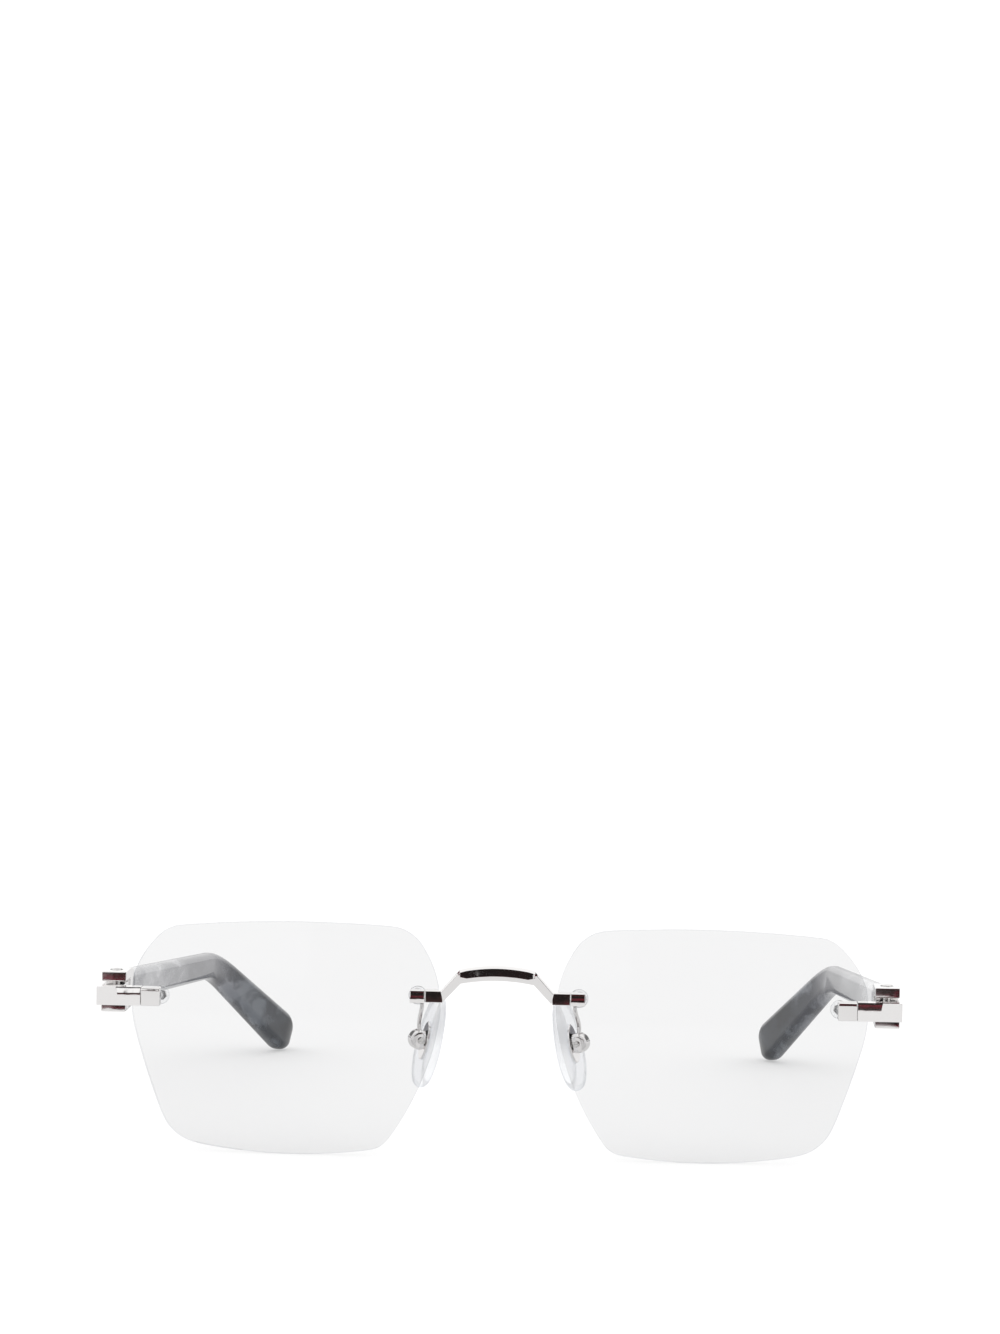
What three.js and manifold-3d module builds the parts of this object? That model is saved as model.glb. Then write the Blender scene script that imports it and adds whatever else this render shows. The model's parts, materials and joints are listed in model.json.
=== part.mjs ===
// Rimless eyeglasses: two drilled lenses, a bridge, end pieces, folding temples and nose pads.
// Millimetres. +Z is up, the lenses face -Y and the temples run along +Y.
// Sizes below are measured from the resting plane under the lenses, the mid plane of the bridge
// and the apex plane of the lens fronts. The whole group is then moved so that its origin is the
// centre of the bridge bar's front face.
// Left and right are the wearer's: the left side is +X.
import * as THREE from 'three';
import { mergeVertices } from 'three/addons/utils/BufferGeometryUtils.js';
import Module from 'manifold-3d';

const wasm = await Module();
wasm.setup();

// Lenses: a runs from the lens centre towards the temple, b runs up.
const LENS_CENTRE_X = 37.04;
const LENS_CENTRE_Z = 20.13;
const LENS_TILT = THREE.MathUtils.degToRad(-2);
const LENS_WRAP = THREE.MathUtils.degToRad(2.76);
const LENS_CURVE_RADIUS = 132;
const LENS_THICKNESS = 2;
const LENS_CORNERS = [
  { a: 20.53, b: 18.66, bulge: 1.83, round: 1.6 },
  { a: 27.47, b: 5.17, bulge: 0.47, round: 4.6 },
  { a: 19.47, b: -17.82, bulge: 1.75, round: 4.6 },
  { a: -17.14, b: -18.78, bulge: 1.27, round: 1.9 },
  { a: -26.47, b: 1.5, bulge: 2.35, round: 2.8 },
  { a: -21.16, b: 19.27, bulge: 1.07, round: 2.9 },
];
const LENS_RINGS = [1, 0.76, 0.42, 0.12];
const NASAL_HOLE = { a: -23.25, b: 7.9 };
const TEMPORAL_HOLE = { a: 22.5, b: 6.7 };
const LENS_HOLE_R = 1.1;

// Fasteners on each hole's own axis, with depths counted from the lens front.
const BUSH_START = 0.15;
const BUSH_R = 0.98;
const BUSH_FLANGE_R = 1.6;
const BUSH_FLANGE = { from: 2.08, to: 2.55 };
const STUD_R = 0.5;
const STUD_BORE_R = 0.6;
const NUT_R = 0.95;
const NUT_HEIGHT = 0.7;
const STUD_PROUD = 0.25;
const STUD_START = -0.8;
const EYELET_THICKNESS = 0.75;
const EYELET_R = 1.2;
const EYELET_BORE_R = 0.62;
const STACK_GAP = 0.06;

// Bridge: a shallow arched bar on two sloping arms that end in lugs.
const BAR_FRONT_Y = -2;
const BAR_DEPTH = 2.2;
const BAR_HALF_TOP = 6.5;
const BAR_TOP_Z = 32.8;
const BAR_RISE = 0.75;
const BAR_BOTTOM_Z = 30.5;
const BAR_BOTTOM_RISE = 0.625;
const BAR_HALF_BOTTOM = 6.7;
const LUG = { seam: 12.5, outer: 15.1, low: 26.85, high: 29.05, front: -0.7, back: 1.2 };
const ARM_SHOULDER_X = 9.75;
const ARM_FOOT = { x: 9.4, rise: 0.4 };
const LUG_ROUND = { width: 0.35, height: 0.1 };
const SEAM_GAP = 0.06;

// The plates on the lens fronts are cut off by the lens, so this depth only has to reach it.
const PLATE_REACH = 8;
const PLATE_BEVEL = 0.4;

// End pieces and hinges.
const END = { inner: 58.5, seam: 61.9, bevelEnd: 66.2, outer: 69.5, low: 25.1, high: 28.3 };
const END_FRONT_Y = 1.2;
const END_BACK_Y = 3.9;
const END_BEVEL = { height: 1.15, depth: 0.32 };
const END_ROUND = { width: 0.6, depth: 0.8 };
const END_TAPER = 1.2;
const PIVOT = { x: 67.2, y: 9.8 };
const TONGUE_R = 2;
const FORK = { halfWidth: 2.15, front: 6, slotEnd: 12.3, back: 16.4, low: 23.35, high: 30.35 };
const FORK_TAPER = { from: 13, low: 24.2, high: 29.9 };
const FORK_PLAY = 0.3;
const SCREW = { r: 0.6, headR: 1.05, headHeight: 0.42, low: 23, proud: 0.12 };
const SCREW_PLAY = 0.09;

// Temples: a straight run that slopes down, then a bend and a straight tip that toes in.
const TEMPLE_START = { y: 16.8, z: 26.88 };
const TEMPLE_SLOPE = THREE.MathUtils.degToRad(4.1);
const TEMPLE_TOE = THREE.MathUtils.degToRad(3.4);
const TIP_SLOPE = THREE.MathUtils.degToRad(30.6);
const TIP_TOE = THREE.MathUtils.degToRad(18.8);
const STRAIGHT_LENGTH = 82;
const BEND_RADIUS = 28;
const TIP_LENGTH = 30.4;
const TEMPLE_HEIGHT = { front: 5.5, bend: 5.1, tip: 8.3 };
const TEMPLE_THICKNESS = { front: 3.8, bend: 3.6, tip: 4.1 };
const TEMPLE_CORNER = 0.32;
const TIP_ROUND = { reach: 3.6, turn: THREE.MathUtils.degToRad(80), steps: 4 };
const TIP_END = { height: 0.12, thickness: 0.35 };
const CORE = { height: 1.9, thickness: 0.9, play: 0.16, startGap: 0.05, endGap: 12.5 };
const CORE_CHANNEL_END = 12;
const CORE_CORNER = 0.3;

// Nose pads. The pad frame's x runs to the rear, y up the pad and z away from the nose.
const PAD_CENTRE = { x: 12.1, y: 9.3, z: 19 };
const PAD_LEAN = THREE.MathUtils.degToRad(12.5);
const PAD_SPLAY = THREE.MathUtils.degToRad(25);
const PAD = { halfLength: 8.3, halfWidth: 4, thickness: 2.2 };
const PAD_WAIST = 0.16;
// Each layer's level, as a share of the thickness, and the size of its outline.
const PAD_LAYERS = [[-0.5, 0.72], [-0.32, 0.94], [0, 1], [0.3, 0.95], [0.5, 0.8]];
const CORE_PLATE = { halfLength: 3.4, halfWidth: 1.55, thickness: 0.45, sunk: 0.35, play: 0.12 };
const PAD_PIVOT_Z = 2.15;
const PAD_LUG = { halfWidth: 0.55, halfNeck: 0.6, r: 0.72, sunk: 0.2 };
const DRUM = { halfWidth: 1.25, wall: 0.6, r: 1.75, low: 1.48, cavityTop: 3.05 };
const PAD_SCREW = { r: 0.36, headR: 0.6, headHeight: 0.3, gap: 0.05, proud: 0.15 };
const DRUM_GAP = 0.04;

// The wire leaves the eyelet's rim, drops and meets the housing from above.
const WIRE_R = 0.36;
const WIRE_START = 0.76;
const WIRE_DROP = 1.2;
const WIRE_END = [{ up: 2.9, away: 2.75 }, { up: 1.4, away: 2.4 }];
const WIRE_STEPS = 14;

// Flats round turned pieces and points on each curve of an outline.
const SEGMENTS = 16;
const CURVE_SEGMENTS = 12;

const metal = { color: 0xc9c7c6, metalness: 1, roughness: 0.12 };
const darkSteel = { color: 0x9d9c9b, metalness: 1, roughness: 0.3 };
const lensGlass = { color: 0xe9ecec, metalness: 0, roughness: 0.03, transparent: true, opacity: 0.3 };
const clearPlastic = { color: 0xdfe3e6, metalness: 0, roughness: 0.2, transparent: true, opacity: 0.55 };
const clearSilicone = { color: 0xc6cad3, metalness: 0, roughness: 0.3, transparent: true, opacity: 0.6 };
const acetate = { color: 0x6a7076, metalness: 0, roughness: 0.18 };

const group = new THREE.Group();
const barMiddle = (BAR_TOP_Z + BAR_RISE + BAR_BOTTOM_Z + BAR_BOTTOM_RISE) / 2;
group.position.set(0, -BAR_FRONT_Y, -barMiddle);

// --- helpers ---------------------------------------------------------------------------------

// A closed geometry with merged vertices whose faces point outwards.
function closed(geometry) {
  const bare = geometry.clone();
  bare.deleteAttribute('normal');
  bare.deleteAttribute('uv');
  const merged = mergeVertices(bare, 1e-5);
  const p = merged.attributes.position;
  const index = merged.index.array;
  const a = new THREE.Vector3();
  const b = new THREE.Vector3();
  const c = new THREE.Vector3();
  const kept = [];
  let volume = 0;
  for (let i = 0; i < index.length; i += 3) {
    const [i0, i1, i2] = [index[i], index[i + 1], index[i + 2]];
    if (i0 === i1 || i1 === i2 || i2 === i0) continue;
    kept.push(i0, i1, i2);
    a.fromBufferAttribute(p, i0);
    b.fromBufferAttribute(p, i1);
    c.fromBufferAttribute(p, i2);
    volume += a.dot(b.cross(c));
  }
  merged.setIndex(volume > 0 ? kept : kept.reverse());
  return merged;
}

function solid(geometry) {
  const ready = closed(geometry);
  const vertProperties = new Float32Array(ready.attributes.position.array);
  const triVerts = new Uint32Array(ready.index.array);
  return new wasm.Manifold(new wasm.Mesh({ numProp: 3, vertProperties, triVerts }));
}

function geometryOf(manifold) {
  const mesh = manifold.getMesh();
  const geometry = new THREE.BufferGeometry();
  const points = new Float32Array((mesh.vertProperties.length / mesh.numProp) * 3);
  for (let i = 0; i < points.length / 3; i += 1) {
    for (let k = 0; k < 3; k += 1) points[3 * i + k] = mesh.vertProperties[mesh.numProp * i + k];
  }
  geometry.setAttribute('position', new THREE.BufferAttribute(points, 3));
  geometry.setIndex(Array.from(mesh.triVerts));
  return geometry;
}

// The same geometry for side +1, and its mirror image across x = 0 for side -1.
function handed(geometry, side) {
  const copy = geometry.clone();
  if (side < 0) copy.scale(-1, 1, 1);
  return closed(copy);
}

// A group at a place given for the left side, or at its mirror image for the right side.
function placed(parent, matrix, side) {
  const flip = new THREE.Matrix4().makeScale(side, 1, 1);
  const frame = new THREE.Group();
  frame.applyMatrix4(flip.clone().multiply(matrix).multiply(flip));
  parent.add(frame);
  return frame;
}

function addMesh(parent, name, geometry, look) {
  const ready = closed(geometry);
  ready.computeVertexNormals();
  const mesh = new THREE.Mesh(ready, new THREE.MeshStandardMaterial(look));
  mesh.name = name;
  parent.add(mesh);
  return mesh;
}

function box(x0, x1, y0, y1, z0, z1) {
  const geometry = new THREE.BoxGeometry(x1 - x0, y1 - y0, z1 - z0);
  return geometry.translate((x0 + x1) / 2, (y0 + y1) / 2, (z0 + z1) / 2);
}

function shapeOf(points) {
  return new THREE.Shape(points.map(([x, y]) => new THREE.Vector2(x, y)));
}

// A plan outline in x and y, raised from z0 to z1.
function raised(shape, z0, z1) {
  const settings = { depth: z1 - z0, bevelEnabled: false, curveSegments: CURVE_SEGMENTS };
  return new THREE.ExtrudeGeometry(shape, settings).translate(0, 0, z0);
}

// An outline in x and z, run from y0 to y1.
function runBack(shape, y0, y1) {
  const settings = { depth: y1 - y0, bevelEnabled: false, curveSegments: CURVE_SEGMENTS };
  return new THREE.ExtrudeGeometry(shape, settings).rotateX(Math.PI / 2).translate(0, y1, 0);
}

// An outline in y and z, run from x0 to x1.
function runAcross(shape, x0, x1) {
  const settings = { depth: x1 - x0, bevelEnabled: false, curveSegments: CURVE_SEGMENTS };
  const turn = new THREE.Matrix4().set(0, 0, 1, x0, 1, 0, 0, 0, 0, 1, 0, 0, 0, 0, 0, 1);
  return new THREE.ExtrudeGeometry(shape, settings).applyMatrix4(turn);
}

// A ring or disc turned about y. The profile is a list of [radius, y] pairs.
function turned(profile) {
  const points = profile.map(([r, y]) => new THREE.Vector2(r, y));
  return new THREE.LatheGeometry([...points, points[0]], SEGMENTS);
}

function rod(r, y0, y1) {
  return turned([[0, y0], [r, y0], [r, y1], [0, y1]]);
}

// Equal rings of points joined into a closed skin, capped at both ends.
function loft(rings) {
  const count = rings[0].length;
  const positions = rings.flat().flatMap((p) => [p.x, p.y, p.z]);
  const index = [];
  for (let r = 0; r + 1 < rings.length; r += 1) {
    for (let i = 0; i < count; i += 1) {
      const j = (i + 1) % count;
      const [a, b] = [r * count + i, r * count + j];
      const [c, d] = [a + count, b + count];
      index.push(a, b, c, b, d, c);
    }
  }
  for (const [ring, first] of [[0, true], [rings.length - 1, false]]) {
    const centre = rings[ring].reduce((sum, p) => sum.add(p), new THREE.Vector3());
    centre.divideScalar(count);
    const hub = positions.length / 3;
    positions.push(centre.x, centre.y, centre.z);
    for (let i = 0; i < count; i += 1) {
      const [a, b] = [ring * count + i, ring * count + ((i + 1) % count)];
      index.push(...(first ? [hub, b, a] : [hub, a, b]));
    }
  }
  const geometry = new THREE.BufferGeometry();
  geometry.setAttribute('position', new THREE.Float32BufferAttribute(positions, 3));
  geometry.setIndex(index);
  return geometry;
}

// --- lenses ----------------------------------------------------------------------------------

function lensOutline() {
  const corners = LENS_CORNERS.map((c) => new THREE.Vector2(c.a, c.b));
  const sides = LENS_CORNERS.map((corner, i) => {
    const next = (i + 1) % corners.length;
    const [from, to] = [corners[i], corners[next]];
    const along = to.clone().sub(from);
    const outward = new THREE.Vector2(-along.y, along.x).normalize();
    const middle = from.clone().add(to).divideScalar(2);
    if (outward.dot(middle) < 0) outward.negate();
    const control = middle.addScaledVector(outward, 2 * corner.bulge);
    const start = corner.round / along.length();
    const end = 1 - LENS_CORNERS[next].round / along.length();
    return { from, control, to, start, end };
  });
  // The blossom of a side's quadratic curve: its point at t, or the control point of a piece.
  const blossom = (side, s, t) => {
    const point = side.from.clone().multiplyScalar((1 - s) * (1 - t));
    point.addScaledVector(side.control, s * (1 - t) + t * (1 - s));
    return point.addScaledVector(side.to, s * t);
  };
  const shape = new THREE.Shape();
  const begin = blossom(sides[0], sides[0].start, sides[0].start);
  shape.moveTo(begin.x, begin.y);
  sides.forEach((side, i) => {
    const next = sides[(i + 1) % sides.length];
    const middle = blossom(side, side.start, side.end);
    const end = blossom(side, side.end, side.end);
    const corner = blossom(next, next.start, next.start);
    shape.quadraticCurveTo(middle.x, middle.y, end.x, end.y);
    shape.quadraticCurveTo(side.to.x, side.to.y, corner.x, corner.y);
  });
  const points = shape.getPoints(4);
  points.pop();
  return points;
}

const lensEdge = lensOutline();
const sag = (a, b) => (a * a + b * b) / (2 * LENS_CURVE_RADIUS);

// The lens body in lens coordinates, from one depth to another behind its front surface.
function lensBody(from, to) {
  const layer = (scale, depth) => lensEdge.map(({ x, y }) => {
    const [a, b] = [x * scale, y * scale];
    return new THREE.Vector3(a, sag(a, b) + depth, b);
  });
  const front = LENS_RINGS.map((scale) => layer(scale, from)).reverse();
  const rear = LENS_RINGS.map((scale) => layer(scale, to));
  return loft([...front, ...rear]);
}

const lensFrame = new THREE.Matrix4().compose(
  new THREE.Vector3(LENS_CENTRE_X, 0, LENS_CENTRE_Z),
  new THREE.Quaternion().setFromEuler(new THREE.Euler(LENS_TILT, 0, LENS_WRAP, 'ZYX')),
  new THREE.Vector3(1, 1, 1),
);

// A hole's own frame in lens coordinates: origin on the lens front, +y straight into the lens.
function holeFrame({ a, b }) {
  const origin = new THREE.Vector3(a, sag(a, b), b);
  const inward = new THREE.Vector3(-a / LENS_CURVE_RADIUS, 1, -b / LENS_CURVE_RADIUS).normalize();
  const turn = new THREE.Quaternion().setFromUnitVectors(new THREE.Vector3(0, 1, 0), inward);
  return new THREE.Matrix4().compose(origin, turn, new THREE.Vector3(1, 1, 1));
}

const holes = { nasal: holeFrame(NASAL_HOLE), temporal: holeFrame(TEMPORAL_HOLE) };
const holeInPart = (place) => lensFrame.clone().multiply(holes[place]);

// The space that the lens takes, as seen by the metal that lies on its front.
const lensSpace = solid(lensBody(-SEAM_GAP, 12).applyMatrix4(lensFrame));

function lens(side) {
  let body = solid(lensBody(0, LENS_THICKNESS));
  for (const place of ['nasal', 'temporal']) {
    body = body.subtract(solid(rod(LENS_HOLE_R, -3, 6).applyMatrix4(holes[place])));
  }
  return handed(geometryOf(body), side);
}

// --- fasteners through the lenses --------------------------------------------------------------

function bush() {
  const profile = [
    [STUD_BORE_R, BUSH_START],
    [BUSH_R, BUSH_START],
    [BUSH_R, BUSH_FLANGE.from],
    [BUSH_FLANGE_R, BUSH_FLANGE.from],
    [BUSH_FLANGE_R, BUSH_FLANGE.to],
    [STUD_BORE_R, BUSH_FLANGE.to],
  ];
  return turned(profile);
}

const nutStart = (place) => {
  const eyelet = place === 'nasal' ? EYELET_THICKNESS + STACK_GAP : 0;
  return BUSH_FLANGE.to + STACK_GAP + eyelet;
};

function nut(place) {
  const start = nutStart(place);
  const body = new THREE.CylinderGeometry(NUT_R, NUT_R, NUT_HEIGHT, 6);
  body.translate(0, start + NUT_HEIGHT / 2, 0);
  const bored = solid(body).subtract(solid(rod(STUD_BORE_R, start - 1, start + NUT_HEIGHT + 1)));
  return geometryOf(bored);
}

// A flat plate on the lens front with its stud through the lens.
function studPlate(place, side) {
  const nasal = place === 'nasal';
  const [x0, x1] = nasal ? [LUG.seam + SEAM_GAP, LUG.outer] : [END.inner, END.seam - SEAM_GAP];
  const [low, high] = nasal ? [LUG.low, LUG.high] : [END.low, END.high];
  const front = nasal ? LUG.front : END_FRONT_Y;
  const outline = shapeOf([
    [front, low],
    [PLATE_REACH, low],
    [PLATE_REACH, high],
    [front + PLATE_BEVEL, high],
    [front, high - PLATE_BEVEL],
  ]);
  const plate = solid(runAcross(outline, x0, x1)).subtract(lensSpace);
  const studEnd = nutStart(place) + NUT_HEIGHT + STUD_PROUD;
  const stud = solid(rod(STUD_R, STUD_START, studEnd).applyMatrix4(holeInPart(place)));
  return handed(geometryOf(plate.add(stud)), side);
}

// --- bridge ------------------------------------------------------------------------------------

function bridge() {
  const shape = new THREE.Shape();
  shape.moveTo(-BAR_HALF_TOP, BAR_TOP_Z);
  shape.quadraticCurveTo(0, BAR_TOP_Z + 2 * BAR_RISE, BAR_HALF_TOP, BAR_TOP_Z);
  shape.lineTo(ARM_SHOULDER_X, LUG.high);
  shape.lineTo(ARM_SHOULDER_X, LUG.low + ARM_FOOT.rise);
  shape.lineTo(ARM_FOOT.x, LUG.low + ARM_FOOT.rise);
  shape.lineTo(BAR_HALF_BOTTOM, BAR_BOTTOM_Z);
  shape.quadraticCurveTo(0, BAR_BOTTOM_Z + 2 * BAR_BOTTOM_RISE, -BAR_HALF_BOTTOM, BAR_BOTTOM_Z);
  shape.lineTo(-ARM_FOOT.x, LUG.low + ARM_FOOT.rise);
  shape.lineTo(-ARM_SHOULDER_X, LUG.low + ARM_FOOT.rise);
  shape.lineTo(-ARM_SHOULDER_X, LUG.high);
  let body = solid(runBack(shape, BAR_FRONT_Y, BAR_FRONT_Y + BAR_DEPTH));
  for (const side of [-1, 1]) {
    const lug = shapeOf([
      [ARM_FOOT.x, LUG.low + ARM_FOOT.rise],
      [ARM_FOOT.x + LUG_ROUND.width, LUG.low + LUG_ROUND.height],
      [LUG.seam, LUG.low + LUG_ROUND.height],
      [LUG.seam, LUG.high],
      [ARM_FOOT.x, LUG.high],
    ]);
    body = body.add(solid(handed(runBack(lug, LUG.front, LUG.back), side)));
  }
  const mirroredSpace = solid(handed(geometryOf(lensSpace), -1));
  return geometryOf(body.subtract(lensSpace).subtract(mirroredSpace));
}

// --- end pieces, forks and hinge screws ----------------------------------------------------------

function pivotRod(r, z0, z1) {
  return rod(r, z0, z1).rotateX(Math.PI / 2).translate(PIVOT.x, PIVOT.y, 0);
}

// The front block turns back round the lens edge and ends in the hinge tongue.
function endPiece(side) {
  const inside = PIVOT.x - TONGUE_R;
  const outside = PIVOT.x + TONGUE_R;
  const plan = new THREE.Shape();
  plan.moveTo(END.seam, END_FRONT_Y);
  plan.lineTo(END.outer - END_ROUND.width, END_FRONT_Y);
  plan.quadraticCurveTo(END.outer, END_FRONT_Y, END.outer, END_FRONT_Y + END_ROUND.depth);
  plan.lineTo(END.outer, END_BACK_Y);
  plan.lineTo(outside, END_BACK_Y + END_TAPER);
  plan.lineTo(outside, PIVOT.y);
  plan.absarc(PIVOT.x, PIVOT.y, TONGUE_R, 0, Math.PI, false);
  plan.lineTo(inside, END_BACK_Y);
  plan.lineTo(END.seam, END_BACK_Y);
  const slant = END_BEVEL.depth / END_BEVEL.height;
  const bevel = shapeOf([
    [END_FRONT_Y - 1, END.high + 1],
    [END_FRONT_Y + END_BEVEL.depth + slant, END.high + 1],
    [END_FRONT_Y, END.high - END_BEVEL.height],
    [END_FRONT_Y - 1, END.high - END_BEVEL.height],
  ]);
  const wedge = runAcross(bevel, END.seam - 1, END.bevelEnd);
  let body = solid(raised(plan, END.low, END.high)).subtract(lensSpace);
  body = body.subtract(solid(wedge));
  body = body.subtract(solid(pivotRod(SCREW.r + SCREW_PLAY, END.low - 1, END.high + 1)));
  return handed(geometryOf(body), side);
}

// Two ears above and below the tongue, joined by the web that holds the temple.
function templeFork(side) {
  const front = (z) => [FORK.front + (z - FORK.low) * Math.tan(TEMPLE_SLOPE), z];
  const profile = shapeOf([
    front(FORK.low),
    [FORK_TAPER.from, FORK.low],
    [FORK.back, FORK_TAPER.low],
    [FORK.back, FORK_TAPER.high],
    [FORK_TAPER.from, FORK.high],
    front(FORK.high),
    front(END.high + FORK_PLAY),
    [FORK.slotEnd, END.high + FORK_PLAY],
    [FORK.slotEnd, END.low - FORK_PLAY],
    front(END.low - FORK_PLAY),
  ]);
  const [x0, x1] = [PIVOT.x - FORK.halfWidth, PIVOT.x + FORK.halfWidth];
  let body = solid(runAcross(profile, x0, x1));
  body = body.subtract(solid(pivotRod(SCREW.r + SCREW_PLAY, FORK.low - 1, FORK.high + 1)));
  const seat = FORK.high + SCREW.proud - SCREW.headHeight - SCREW_PLAY;
  body = body.subtract(solid(pivotRod(SCREW.headR + SCREW_PLAY, seat, FORK.high + 1)));
  return handed(geometryOf(body), side);
}

function hingeScrew() {
  const top = FORK.high + SCREW.proud;
  const profile = [
    [0, SCREW.low],
    [SCREW.r, SCREW.low],
    [SCREW.r, top - SCREW.headHeight],
    [SCREW.headR, top - SCREW.headHeight],
    [SCREW.headR, top],
    [0, top],
  ];
  return turned(profile).rotateX(Math.PI / 2);
}

// --- temples -----------------------------------------------------------------------------------

function heading(slope, toe) {
  const level = Math.cos(slope) * Math.cos(toe);
  return new THREE.Vector3(-Math.sin(toe), level, -Math.sin(slope) * Math.cos(toe));
}

// Stations along a temple's centre line: place, direction, distance and share of the way.
function templeStations() {
  const first = heading(TEMPLE_SLOPE, TEMPLE_TOE);
  const last = heading(TIP_SLOPE, TIP_TOE);
  const bend = Math.acos(first.dot(last));
  const startX = PIVOT.x - (TEMPLE_START.y - PIVOT.y) * Math.tan(TEMPLE_TOE);
  const place = new THREE.Vector3(startX, TEMPLE_START.y, TEMPLE_START.z);
  const stations = [];
  let distance = 0;
  const record = (direction) => stations.push({ place: place.clone(), direction, distance });
  const advance = (direction, length) => {
    place.addScaledVector(direction, length);
    distance += length;
  };
  record(first);
  for (let i = 0; i < 3; i += 1) {
    advance(first, STRAIGHT_LENGTH / 3);
    record(first);
  }
  const steps = 6;
  const chord = 2 * BEND_RADIUS * Math.sin(bend / steps / 2);
  const directionAt = (t) => {
    const blend = first.clone().multiplyScalar(Math.sin((1 - t) * bend));
    return blend.addScaledVector(last, Math.sin(t * bend)).normalize();
  };
  for (let i = 0; i < steps; i += 1) {
    advance(directionAt((i + 0.5) / steps), chord);
    record(directionAt((i + 1) / steps));
  }
  advance(last, TIP_LENGTH - TIP_ROUND.reach);
  record(last);
  let done = 0;
  for (let i = 1; i <= TIP_ROUND.steps; i += 1) {
    const angle = (i / TIP_ROUND.steps) * TIP_ROUND.turn;
    const reach = TIP_ROUND.reach * Math.sin(angle);
    advance(last, reach - done);
    record(last);
    stations.at(-1).shrink = Math.cos(angle);
    done = reach;
  }
  return stations;
}

function mixed(size, distance, whole) {
  const bendAt = STRAIGHT_LENGTH;
  if (distance < bendAt) return THREE.MathUtils.mapLinear(distance, 0, bendAt, size.front, size.bend);
  return THREE.MathUtils.mapLinear(distance, bendAt, whole, size.bend, size.tip);
}

// A rounded rectangle across the temple at one station.
function templeSection({ place, direction }, height, thickness, cornerShare) {
  const up = new THREE.Vector3(0, 0, 1).addScaledVector(direction, -direction.z).normalize();
  const out = new THREE.Vector3().crossVectors(direction, up);
  const radius = cornerShare * thickness;
  const ring = [];
  for (const [sx, sy, start] of [[1, 1, 0], [-1, 1, 90], [-1, -1, 180], [1, -1, 270]]) {
    for (let k = 0; k <= 2; k += 1) {
      const angle = THREE.MathUtils.degToRad(start + 45 * k);
      const x = sx * (thickness / 2 - radius) + radius * Math.cos(angle);
      const y = sy * (height / 2 - radius) + radius * Math.sin(angle);
      ring.push(place.clone().addScaledVector(out, x).addScaledVector(up, y));
    }
  }
  return ring;
}

const stations = templeStations();
const templeLength = stations.at(-1).distance;

function templeArm(side) {
  const rings = stations.map((station) => {
    const shrink = station.shrink ?? 1;
    const height = mixed(TEMPLE_HEIGHT, station.distance, templeLength)
      * THREE.MathUtils.lerp(TIP_END.height, 1, shrink);
    const thickness = mixed(TEMPLE_THICKNESS, station.distance, templeLength)
      * THREE.MathUtils.lerp(TIP_END.thickness, 1, shrink);
    return templeSection(station, height, Math.min(thickness, height), TEMPLE_CORNER);
  });
  const channel = coreBody(CORE.play, -3, templeLength - CORE_CHANNEL_END);
  const body = solid(loft(rings)).subtract(solid(channel));
  return handed(geometryOf(body), side);
}

// The core wire's body, grown by play, between two distances along the temple.
function coreBody(play, from, to) {
  const inner = stations.filter((s) => s.distance > from + 1 && s.distance < to - 1);
  const at = (distance) => {
    const base = stations.filter((s) => s.distance <= Math.max(distance, 0)).at(-1);
    const place = base.place.clone().addScaledVector(base.direction, distance - base.distance);
    return { place, direction: base.direction, distance };
  };
  const run = [at(from), ...inner, at(to)];
  const height = CORE.height + 2 * play;
  const thickness = CORE.thickness + 2 * play;
  return loft(run.map((station) => templeSection(station, height, thickness, CORE_CORNER)));
}

function templeCore(side) {
  return handed(coreBody(0, CORE.startGap, templeLength - CORE.endGap), side);
}

// --- nose pads ---------------------------------------------------------------------------------

const padUp = new THREE.Vector3(-Math.sin(PAD_LEAN), 0, Math.cos(PAD_LEAN));
const padRear = new THREE.Vector3(Math.sin(PAD_SPLAY), Math.cos(PAD_SPLAY), 0);
padRear.addScaledVector(padUp, -padRear.dot(padUp)).normalize();
const padAway = new THREE.Vector3().crossVectors(padRear, padUp);
const padFrame = new THREE.Matrix4().makeBasis(padRear, padUp, padAway);
padFrame.setPosition(PAD_CENTRE.x, PAD_CENTRE.y, PAD_CENTRE.z);

// An egg-shaped outline, a little narrower at its top.
function padOutline(halfLength, halfWidth, steps) {
  const points = [];
  for (let i = 0; i < steps; i += 1) {
    const angle = (2 * Math.PI * i) / steps;
    const y = halfLength * Math.sin(angle);
    const waist = 1 - (PAD_WAIST * y) / halfLength;
    points.push([halfWidth * waist * Math.cos(angle), y]);
  }
  return points;
}

function nosePad(side) {
  const outline = padOutline(PAD.halfLength, PAD.halfWidth, 28);
  const rings = PAD_LAYERS.map(([level, scale]) => outline.map(([x, y]) => (
    new THREE.Vector3(x * scale, y * (0.5 + scale / 2), level * PAD.thickness)
  )));
  const recess = padOutline(
    CORE_PLATE.halfLength + CORE_PLATE.play,
    CORE_PLATE.halfWidth + CORE_PLATE.play,
    20,
  );
  const floor = PAD.thickness / 2 - CORE_PLATE.sunk - CORE_PLATE.play;
  const pocket = raised(shapeOf(recess), floor, PAD.thickness);
  const body = solid(loft(rings)).subtract(solid(pocket));
  return handed(geometryOf(body), side);
}

// Turned bodies about the pad's pivot, which runs along the pad frame's x.
function padPivotRod(r, x0, x1) {
  return rod(r, x0, x1).rotateZ(-Math.PI / 2).translate(0, 0, PAD_PIVOT_Z);
}

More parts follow.
